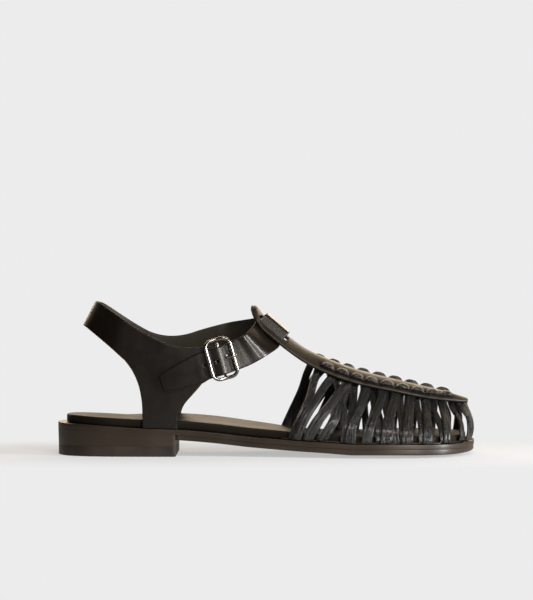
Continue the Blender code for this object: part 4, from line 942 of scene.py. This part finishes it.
# The strap's way down the outer side to its tip. Along and height place its middle, as shares of
# LENGTH and ANKLE_HEIGHT, lean is the tilt of its width in radians, width a share of STRAP_WIDTH
# and lift its height over the sling in layers of strap.
STRAP_DOWN = [
    {"along": 0.473, "height": 0.7175, "lean": 0.70, "width": 1.03, "lift": 1.0},
    {"along": 0.445, "height": 0.676, "lean": 0.50, "width": 1.02, "lift": 1.0},
    {"along": 0.419, "height": 0.644, "lean": 0.32, "width": 0.98, "lift": 1.0},
    {"along": 0.390, "height": 0.615, "lean": 0.27, "width": 0.97, "lift": 2.0},
    {"along": 0.361, "height": 0.590, "lean": 0.27, "width": 0.97, "lift": 1.0},
    {"along": 0.338, "height": 0.566, "lean": 0.22, "width": 0.97, "lift": 1.0},
    {"along": 0.304, "height": 0.529, "lean": 0.15, "width": 0.85, "lift": 1.0},
    {"along": 0.267, "height": 0.487, "lean": 0.22, "width": 0.66, "lift": 1.0},
    {"along": 0.256, "height": 0.475, "lean": 0.29, "width": 0.54, "lift": 1.0},
]


def table_column(table, name):
    """One column of a table's rows."""
    return np.array([row[name] for row in table])


def heel_back(height):
    """The share of LENGTH of the heel's back, on a straight line of the height."""
    share = (height / ANKLE_HEIGHT - HEEL_LOW) / (HEEL_HIGH - HEEL_LOW)
    return HEEL_BACK_LOW + (HEEL_BACK_HIGH - HEEL_BACK_LOW) * share


def ankle_raw(place, height, side):
    """The sling's middle face. Behind, x and the half width are the cosine and sine of the place;
    in front, x runs on evenly and the half width is the plan's. Low down it meets the sole."""
    round_part = HEEL_SIDE - (HEEL_SIDE - heel_back(height)) * np.cos(place * np.pi / 2)
    along = np.where(place >= 1, HEEL_SIDE + FRONT_STEP * (place - 1), round_part)
    high = np.clip((height / ANKLE_HEIGHT - LOW_FROM) / LOW_REACH, 0, 1)
    low_y = np.abs(outline(turn_of(np.maximum(along, LOW_BACK)), side, FOOT_INSET)[1])
    half = ANKLE_HALF_WIDTH * curve(ANKLE_PLAN, "half", "along", along)
    y = (low_y + (half - low_y) * high * (2 - high)) * np.sin(np.minimum(place, 1) * np.pi / 2)
    return np.stack(np.broadcast_arrays(LENGTH * (along - 0.5), side * y, height), -1)


def ankle_point(place, height, side, lift=0.0):
    """A point lifted off the sling's middle face along its outward normal."""
    step = 0.02
    ahead = ankle_raw(place + step, height, side)
    ahead = ahead - ankle_raw(np.maximum(place - step, 0), height, side)
    upward = ankle_raw(place, height + MM, side) - ankle_raw(place, height - MM, side)
    off = unit(np.cross(ahead, upward)) * -np.asarray(side)[..., None]
    return ankle_raw(place, height, side) + off * np.asarray(lift)[..., None]


def ankle_at(along, height, side, lift=0.0):
    """The sling's point at a share of LENGTH, whose place is the inverse of the cosine above."""
    share = np.clip((HEEL_SIDE - along) / (HEEL_SIDE - heel_back(height)), 0, 1)
    behind, in_front = np.arccos(share) / (np.pi / 2), 1 + (along - HEEL_SIDE) / FRONT_STEP
    place = np.where(along >= HEEL_SIDE, in_front, behind)
    return ankle_point(place, height, side, lift)


def refined(points, between):
    """A Catmull-Rom curve through rows of points, with even steps between them."""
    padded = np.concatenate([points[:1], points, points[-1:]])[:, None]
    before, start, end, after = padded[:-3], padded[1:-2], padded[2:-1], padded[3:]
    share = (np.arange(between) / between).reshape(1, -1, *[1] * (points.ndim - 1))
    found = 2 * start + (end - before) * share
    found = found + (2 * before - 5 * start + 4 * end - after) * share**2
    found = 0.5 * (found + (3 * start - before - 3 * end + after) * share**3)
    return np.concatenate([found.reshape(-1, *points.shape[1:]), points[-1:]])


# The order of the materials of a strap: its outside, its cut edge and its lining side.
OUTSIDE, EDGE, INSIDE = 0, 1, 2


def ribbon(grid, thick, radius, side):
    """A sheet with rounded sides: each point of its middle face moves half the thickness both ways
    along the normal, and half ellipses close the long sides. Groups says which faces are outside."""
    normal = unit(np.cross(np.gradient(grid, axis=1), np.gradient(grid, axis=0)))
    half = np.broadcast_to(np.asarray(thick) / 2, (len(grid), 1))[..., None]
    first, last = unit(grid[:, :1] - grid[:, 1:2]), unit(grid[:, -1:] - grid[:, -2:-1])
    middle = grid.copy()
    middle[:, :1] -= first * radius
    middle[:, -1:] -= last * radius
    angle = np.pi * np.arange(1, 6) / 6
    out, up = np.sin(angle)[:, None], np.cos(angle)[:, None]
    far_edge = middle[:, -1:] + last * radius * out + normal[:, -1:] * half * up
    near_edge = middle[:, :1] + first * radius * out - normal[:, :1] * half * up
    lower = (middle - normal * half)[:, ::-1]
    rings = np.concatenate([middle + normal * half, far_edge, lower, near_edge], axis=1)
    faces_across, faces_round = grid.shape[1] - 1, len(angle) + 1
    one, other = (OUTSIDE, INSIDE) if normal[0, 0, 1] * side > 0 else (INSIDE, OUTSIDE)
    ring = [one] * faces_across + [EDGE] * faces_round + [other] * faces_across + [EDGE] * faces_round
    return rings, ring * (len(grid) - 1) + [EDGE, EDGE]


# The strap's middle face runs from the outer side's front round the heel to the inner side, over
# the T-bar and down to the tip. Each row has three points, and a parabola goes through them.
bands = [*OUTER_BAND[::-1], *INNER_BAND[1:]]
band_side = np.where(np.arange(len(bands)) < len(OUTER_BAND), OUTER, INNER)[:, None]
top, base = table_column(bands, "top"), table_column(bands, "base")
heights = np.stack([top, (top + base) / 2, base], -1) * ANKLE_HEIGHT
sling_rows = ankle_point(table_column(bands, "place")[:, None], heights, band_side)

below = -TBAR_THICK - STRAP_CLEARANCE - STRAP_THICK / 2
above = STRAP_CLEARANCE + STRAP_THICK / 2
lift = below + (above - below) * table_column(STRAP_OVER, "over")[:, None]
share = np.array([STRAP_START, (STRAP_START + STRAP_END) / 2, STRAP_END])
share = share + table_column(STRAP_OVER, "shift")[:, None]
across = table_column(STRAP_OVER, "across")[:, None]
over_rows = tbar_point(share, across + 0 * share, lift + 0 * share)

half = table_column(STRAP_DOWN, "width")[:, None] * STRAP_WIDTH / 2 * np.array([1, 0, -1])
lean = table_column(STRAP_DOWN, "lean")[:, None]
along = table_column(STRAP_DOWN, "along")[:, None] - half * np.sin(lean) / LENGTH
height = table_column(STRAP_DOWN, "height")[:, None] * ANKLE_HEIGHT + half * np.cos(lean)
lift = (STRAP_THICK + GAP) * table_column(STRAP_DOWN, "lift")[:, None]
down_rows = ankle_at(along, height, np.full(along.shape, OUTER), lift + 0 * along)

rows = refined(np.concatenate([sling_rows, over_rows, down_rows]), 8)[:, ::-1, None]
share = np.linspace(0, 1, 17)[:, None]
grid = rows[:, 0] * (1 - share) * (1 - 2 * share) + rows[:, 1] * 4 * share * (1 - share)
grid = grid + rows[:, 2] * share * (2 * share - 1)
rings, groups = ribbon(grid, STRAP_THICK, STRAP_EDGE, OUTER)

# The cut edge of the calf is burnished with ink: satin, with the fibres just felt.
look = blank_look("burnished_edge")
where = node(look, "ShaderNodeTexCoord", {})["Object"]
cloud = node(look, "ShaderNodeTexNoise", {"Vector": where, "Scale": 1 / (14 * MM), "Detail": 3.0})["Fac"]
tint = {0: cloud, 6: linear("#16110e"), 7: linear("#2a221b")}
tint = node(look, "ShaderNodeMix", tint, data_type="RGBA")[2]
gloss = node(look, "ShaderNodeMapRange", {"Value": cloud, "To Min": 0.52, "To Max": 0.66})[0]
shader = {"Base Color": tint, "Roughness": gloss, "Specular IOR Level": 0.15}
shader = node(look, "ShaderNodeBsdfPrincipled", shader)[0]
node(look, "ShaderNodeOutputMaterial", {"Surface": shader})
EDGE_LOOK = look

# The lining side is unglazed calf: a matt olive brown with a short nap.
look = blank_look("lining_calf")
where = node(look, "ShaderNodeTexCoord", {})["Object"]
nap = node(look, "ShaderNodeTexNoise", {"Vector": where, "Scale": 1 / (1.1 * MM), "Detail": 4.0})["Fac"]
cloud = node(look, "ShaderNodeTexNoise", {"Vector": where, "Scale": 1 / (22 * MM), "Detail": 4.0})["Fac"]
patch = node(look, "ShaderNodeMapRange", {"Value": cloud, "From Min": 0.35, "From Max": 0.7})[0]
tint = {0: patch, 6: linear("#29251c"), 7: linear("#383226")}
tint = node(look, "ShaderNodeMix", tint, data_type="RGBA")[2]
gloss = {"Value": nap, "From Min": 0.3, "From Max": 0.7, "To Min": 0.52, "To Max": 0.66}
gloss = node(look, "ShaderNodeMapRange", gloss)[0]
napped = node(look, "ShaderNodeBump", {"Height": nap, "Strength": 0.3, "Distance": 0.12 * MM})[0]
shader = {"Base Color": tint, "Roughness": gloss, "Normal": napped}
shader |= {"Sheen Weight": 0.1, "Sheen Roughness": 0.5}
shader = node(look, "ShaderNodeBsdfPrincipled", shader)[0]
node(look, "ShaderNodeOutputMaterial", {"Surface": shader})

STRAP_LOOK = calf("strap_calf", "#140e09", "#1c140d", 0.33, 0.34)
SLING_LOOKS = [STRAP_LOOK, EDGE_LOOK, look]
faces = ring_faces(*rings.shape[:2])
sling = built("sling_and_strap", rings, faces, SLING_LOOKS, "quarter_strap", groups)

# The strap's punched holes: two spare ones, and the one that the tongue of the buckle comes
# through. Lift is the strap's middle over the sling's there.
HOLE_RADIUS = 0.95 * MM
PUNCH_DEPTHS = np.array([[-1.05], [3.0]]) * MM
HOLES = [
    {"along": 0.3840, "height": 58.8 * MM, "lift": 4.1 * MM},
    {"along": 0.3548, "height": 56.7 * MM, "lift": 2.1 * MM},
    {"along": 0.4075, "height": 62.2 * MM, "lift": 2.9 * MM},
]
punches = []
angle = 2 * np.pi * np.arange(14) / 14
for hole in HOLES:
    along = hole["along"] + HOLE_RADIUS * np.cos(angle) / LENGTH
    height = hole["height"] + HOLE_RADIUS * np.sin(angle)
    lift = PUNCH_DEPTHS + hole["lift"] + 0 * along
    along, height = along + 0 * lift, height + 0 * lift
    punches.append(ankle_at(along, height, np.full(lift.shape, OUTER), lift))
sling.data = cut_away(sling, punches)
sling.data.shade_smooth()

# Each leg of the sling is cut from the same calf as the band, widens into it without a seam and
# is glued between the midsole and the insole. Rise is a share of ANKLE_HEIGHT, and back and
# the two fronts are shares of LENGTH. Near its top a leg gets thinner and ends inside the band.
THIN_FROM, THIN_REACH, THINNER_BY = 0.50, 0.14, 0.4 * MM
LEG_THICK = STRAP_THICK + 0.06 * MM
LEG = [
    {"rise": 0.205, "back": 0.208, "outer_front": 0.290, "inner_front": 0.290},
    {"rise": 0.270, "back": 0.208, "outer_front": 0.292, "inner_front": 0.292},
    {"rise": 0.340, "back": 0.207, "outer_front": 0.308, "inner_front": 0.306},
    {"rise": 0.400, "back": 0.204, "outer_front": 0.327, "inner_front": 0.321},
    {"rise": 0.450, "back": 0.200, "outer_front": 0.343, "inner_front": 0.333},
    {"rise": 0.500, "back": 0.1935, "outer_front": 0.356, "inner_front": 0.344},
    {"rise": 0.550, "back": 0.1845, "outer_front": 0.360, "inner_front": 0.356},
    {"rise": 0.600, "back": 0.172, "outer_front": 0.360, "inner_front": 0.368},
    {"rise": 0.650, "back": 0.156, "outer_front": 0.345, "inner_front": 0.375},
]
for side, name in ((OUTER, "outer"), (INNER, "inner")):
    edges = []
    for column in ("back", f"{name}_front"):
        along = table_column(LEG, column)
        foot = sole_level((along[0] - 0.5) * LENGTH, 0.0) + GAP
        heights = np.concatenate([[foot], table_column(LEG, "rise") * ANKLE_HEIGHT])
        edges.append(refined(np.stack([np.concatenate([along[:1], along]), heights], -1), 5))
    share = np.linspace(0, 1, 27)[:, None]
    flat = edges[0][:, None] * (1 - share) + edges[1][:, None] * share
    grid = ankle_at(flat[..., 0], flat[..., 1], np.full(flat.shape[:2], side))
    thinner = np.clip((edges[0][:, 1] / ANKLE_HEIGHT - THIN_FROM) / THIN_REACH, 0, 1)[:, None]
    rings, groups = ribbon(grid, LEG_THICK - THINNER_BY * thinner, STRAP_EDGE, side)
    faces = ring_faces(*rings.shape[:2])
    built(f"{name}_leg", rings, faces, SLING_LOOKS, "quarter_strap", groups)

# The buckle is of black nickel wire: a frame with round corners, bent to the ankle, a straight bar
# across its middle, and a tongue that comes up through the strap and rests on the frame.
BUCKLE_WIRE = 1.1 * MM
BAR_WIRE = 0.9 * MM
TONGUE_WIRE = 0.75 * MM
BUCKLE_LENGTH = 15 * MM
BUCKLE_WIDTH = 24.4 * MM
BUCKLE_CORNER = 4.5 * MM
BUCKLE_ALONG = 0.3924
BUCKLE_HEIGHT = 0.631 * ANKLE_HEIGHT
BUCKLE_TILT = 0.266
BUCKLE_SAG = 1.0 * MM
BAR_LIFT = STRAP_THICK / 2 + GAP + BAR_WIRE
FRAME_LIFT = 1.5 * STRAP_THICK + GAP + STRAP_CLEARANCE + GAP + BUCKLE_WIRE


def buckle_point(along, across, lift):
    """A point from the buckle's middle along and across the strap, turned by the tilt."""
    aside = along * np.cos(BUCKLE_TILT) - across * np.sin(BUCKLE_TILT)
    up = along * np.sin(BUCKLE_TILT) + across * np.cos(BUCKLE_TILT)
    place = BUCKLE_ALONG + aside / LENGTH
    return ankle_at(place, BUCKLE_HEIGHT + up, np.full(place.shape, OUTER), lift + 0 * place)


def wire(name, path, radius, look, part, joined=False):
    """A round wire: circles square to a smooth curve through the path. An open wire's last three
    circles at each end get smaller, for a round end."""
    if joined:
        line = refined(np.concatenate([path[-1:], path, path[:2]]), 5)[5:-6]
        ahead = unit(np.roll(line, -1, axis=0) - np.roll(line, 1, axis=0))
    else:
        line = refined(path, 8)
        ahead = unit(np.gradient(line, axis=0))
    index = np.arange(len(line))
    from_end = 3 if joined else np.minimum(index, len(line) - 1 - index)
    size = np.array([0.45, 0.8, 0.95, 1.0])[np.minimum(from_end, 3)] * radius * np.ones(len(line))
    beside = unit(np.cross(ahead, np.array([0.0, -1.0, 0.0])))
    off = np.cross(beside, ahead)
    angle = (2 * np.pi * np.arange(16) / 16)[:, None]
    rings = beside[:, None] * np.cos(angle) + off[:, None] * np.sin(angle)
    rings = line[:, None] + rings * size[:, None, None]
    faces = ring_faces(*rings.shape[:2], joined=joined)
    built(name, rings, faces, [look], part)


# Black nickel plating, polished: a dark mirror with hair scratches from wear.
look = blank_look("black_nickel")
where = node(look, "ShaderNodeTexCoord", {})["Object"]
cloud = node(look, "ShaderNodeTexNoise", {"Vector": where, "Scale": 1 / (4 * MM), "Detail": 3.0})["Fac"]
drawn_out = {"Vector": where, "Scale": (1 / (4 * MM), 1 / (1.1 * MM), 1 / (1.1 * MM))}
drawn_out = node(look, "ShaderNodeMapping", drawn_out)[0]
scratch = node(look, "ShaderNodeTexNoise", {"Vector": drawn_out, "Scale": 1.0, "Detail": 2.0})["Fac"]
tint = {0: cloud, 6: linear("#8b8885"), 7: linear("#b9b5b0")}
tint = node(look, "ShaderNodeMix", tint, data_type="RGBA")[2]
gloss = {"Value": scratch, "From Min": 0.3, "From Max": 0.7, "To Min": 0.15, "To Max": 0.28}
gloss = node(look, "ShaderNodeMapRange", gloss)[0]
scratched = node(look, "ShaderNodeBump", {"Height": scratch, "Strength": 0.12, "Distance": 0.06 * MM})[0]
shader = {"Base Color": tint, "Metallic": 1.0, "Roughness": gloss, "Normal": scratched}
shader = node(look, "ShaderNodeBsdfPrincipled", shader)[0]
node(look, "ShaderNodeOutputMaterial", {"Surface": shader})

# Four round corners, each from one side's end to the next one's, with the side's middle between.
half_long, half_wide = BUCKLE_LENGTH / 2, BUCKLE_WIDTH / 2
angle = np.pi / 2 * (np.arange(4)[:, None] + np.arange(5) / 4)
along = np.array([1, -1, -1, 1])[:, None] * (half_long - BUCKLE_CORNER) + BUCKLE_CORNER * np.cos(angle)
across = np.array([1, 1, -1, -1])[:, None] * (half_wide - BUCKLE_CORNER) + BUCKLE_CORNER * np.sin(angle)
along = np.column_stack([along, np.array([0, -1, 0, 1]) * half_long]).ravel()
across = np.column_stack([across, np.array([1, 0, -1, 0]) * half_wide]).ravel()
sag = (1 - np.abs(along) / half_long) * BUCKLE_SAG
path = buckle_point(along, across, FRAME_LIFT - sag)
wire("buckle_ring", path, BUCKLE_WIRE, look, "buckle_frame", joined=True)

straight, end = STRAP_WIDTH / 2 + BAR_WIRE + GAP, half_wide - GAP
across = np.array([end, straight, 0.0, -straight, -end])
on_frame = FRAME_LIFT - BUCKLE_SAG
lifts = np.array([on_frame, BAR_LIFT, BAR_LIFT, BAR_LIFT, on_frame])
wire("buckle_bar", buckle_point(0 * across, across, lifts), BAR_WIRE, look, "buckle_frame")

# The tongue starts on the bar, rises to the frame's front and hangs a little over it.
start, top = BAR_LIFT + BAR_WIRE + GAP, FRAME_LIFT + BUCKLE_WIRE + GAP + TONGUE_WIRE
along = np.array([0.02, 0.14, 0.36, 0.60, 0.82, 1.0, 1.2]) * half_long
lifts = np.array([start, start, start, top, top, top, top])
lifts = lifts + np.array([0, 0.3, 0.5, -1.3, -0.2, 0, -0.3]) * MM
wire("buckle_tongue", buckle_point(along, 0 * along, lifts), TONGUE_WIRE, look, "buckle_prong")

# The studio is a pale floor that runs on into a pale wall. The camera sees both at one even tone,
# while the shoe is lit by the softboxes and sees a dark front half and a warm back half.
PALE = linear("#ececec")[0]
ROOM_FRONT, ROOM_BACK = 0.02, 0.55
ROOM_FROM, ROOM_TO = 0.35, 0.95
FLOOR_RADIUS = 12
FLOOR_SHADE, FLOOR_GLOW, FLOOR_FILL = 0.60, 0.17, 0.19
SHADE_FROM, SHADE_TO = 0.11, 0.27
SHADE_SHAPE = (0.75, 2.2, 1.0)
scene = bpy.context.scene
scene.view_settings.view_transform = "Standard"
scene.view_settings.look = "None"
room = bpy.data.worlds.new("room")
scene.world = room
room.use_nodes = True
room.node_tree.nodes.clear()
seen = node(room, "ShaderNodeLightPath", {})["Is Camera Ray"]
where = node(room, "ShaderNodeTexCoord", {})["Generated"]
depth = node(room, "ShaderNodeSeparateXYZ", {"Vector": where})["Y"]
glow = {"Value": depth, "From Min": ROOM_FROM, "From Max": ROOM_TO}
glow |= {"To Min": ROOM_FRONT, "To Max": ROOM_BACK}
glow = node(room, "ShaderNodeMapRange", glow)[0]
glow = node(room, "ShaderNodeMix", {0: seen, 2: glow, 3: PALE})[0]
tint = {0: seen, 6: linear("#ffe8c8"), 7: linear("#ffffff")}
tint = node(room, "ShaderNodeMix", tint, data_type="RGBA")[2]
back = node(room, "ShaderNodeBackground", {"Color": tint, "Strength": glow})[0]
node(room, "ShaderNodeOutputWorld", {"Surface": back})

mesh = bpy.data.meshes.new("floor")
build = bmesh.new()
bmesh.ops.create_circle(build, cap_ends=True, segments=96, radius=FLOOR_RADIUS)
build.to_mesh(mesh)
build.free()
floor = bpy.data.objects.new("floor", mesh)
scene.collection.objects.link(floor)

# Matt pale paint that catches the shoe's shadow. It fades into the wall's tone away from the shoe.
look = blank_look("pale_floor")
seen = node(look, "ShaderNodeLightPath", {})["Is Camera Ray"]
glow = node(look, "ShaderNodeMapRange", {"Value": seen, "To Min": FLOOR_GLOW, "To Max": PALE})[0]
glow = node(look, "ShaderNodeEmission", {"Strength": glow})[0]
paint = node(look, "ShaderNodeBsdfDiffuse", {"Color": linear("#eceff4")})[0]
fill = node(look, "ShaderNodeEmission", {"Strength": FLOOR_FILL})[0]
paint = node(look, "ShaderNodeAddShader", {0: paint, 1: fill})[0]
where = node(look, "ShaderNodeTexCoord", {})["Object"]
where = node(look, "ShaderNodeMapping", {"Vector": where, "Scale": SHADE_SHAPE})[0]
away = node(look, "ShaderNodeVectorMath", {0: where}, operation="LENGTH")["Value"]
fade = {"Value": away, "From Min": SHADE_FROM, "From Max": SHADE_TO, "To Min": 1 - FLOOR_SHADE}
fade = node(look, "ShaderNodeMapRange", fade, interpolation_type="SMOOTHSTEP")[0]
mixed = node(look, "ShaderNodeMixShader", {0: fade, 1: paint, 2: glow})[0]
node(look, "ShaderNodeOutputMaterial", {"Surface": mixed})
mesh.materials.append(look)

# A large warm softbox behind gives the T-bar its sheen. The narrow ones in front draw the strips'
# bends, the strap beside the buckle and the toe of the sole.
LIT_POINT = (0.02, 0.0, 0.04)
SOFTBOXES = [
    {
        "name": "back_softbox",
        "at": (0.05, 1.05, 0.50),
        "power": 8.0,
        "size": (1.5, 0.5),
        "tint": "#ffe9cc",
    },
    {
        "name": "right_softbox",
        "at": (0.90, -0.38, 0.22),
        "power": 11.0,
        "size": (0.22, 0.5),
        "tint": "#fffefb",
    },
    {
        "name": "front_softbox",
        "at": (0.14, -0.60, 0.70),
        "power": 2.8,
        "size": (0.55, 0.10),
        "tint": "#fffaf2",
    },
    {
        "name": "strap_softbox",
        "at": (0.42, -0.85, 0.17),
        "power": 3.4,
        "size": (0.12, 0.30),
        "tint": "#fff8ee",
    },
]
for box in SOFTBOXES:
    light = bpy.data.lights.new(box["name"], "AREA")
    light.energy = box["power"]
    light.shape = "RECTANGLE"
    light.size, light.size_y = box["size"]
    light.color = linear(box["tint"])[:3]
    lamp = bpy.data.objects.new(box["name"], light)
    lamp.location = box["at"]
    toward = Vector(LIT_POINT) - Vector(box["at"])
    lamp.rotation_euler = toward.to_track_quat("-Z", "Y").to_euler()
    scene.collection.objects.link(lamp)

# The camera stands level with the shoe's upper edge and far off, on the outer side.
camera = bpy.data.cameras.new("camera")
camera.sensor_width = 36
camera.lens = 109.5
camera.clip_start = 0.01
eye = bpy.data.objects.new("camera", camera)
eye.location = (0.0, -1.15, 0.0964)
eye.rotation_euler = (np.pi / 2, 0, 0)
scene.collection.objects.link(eye)
scene.camera = eye
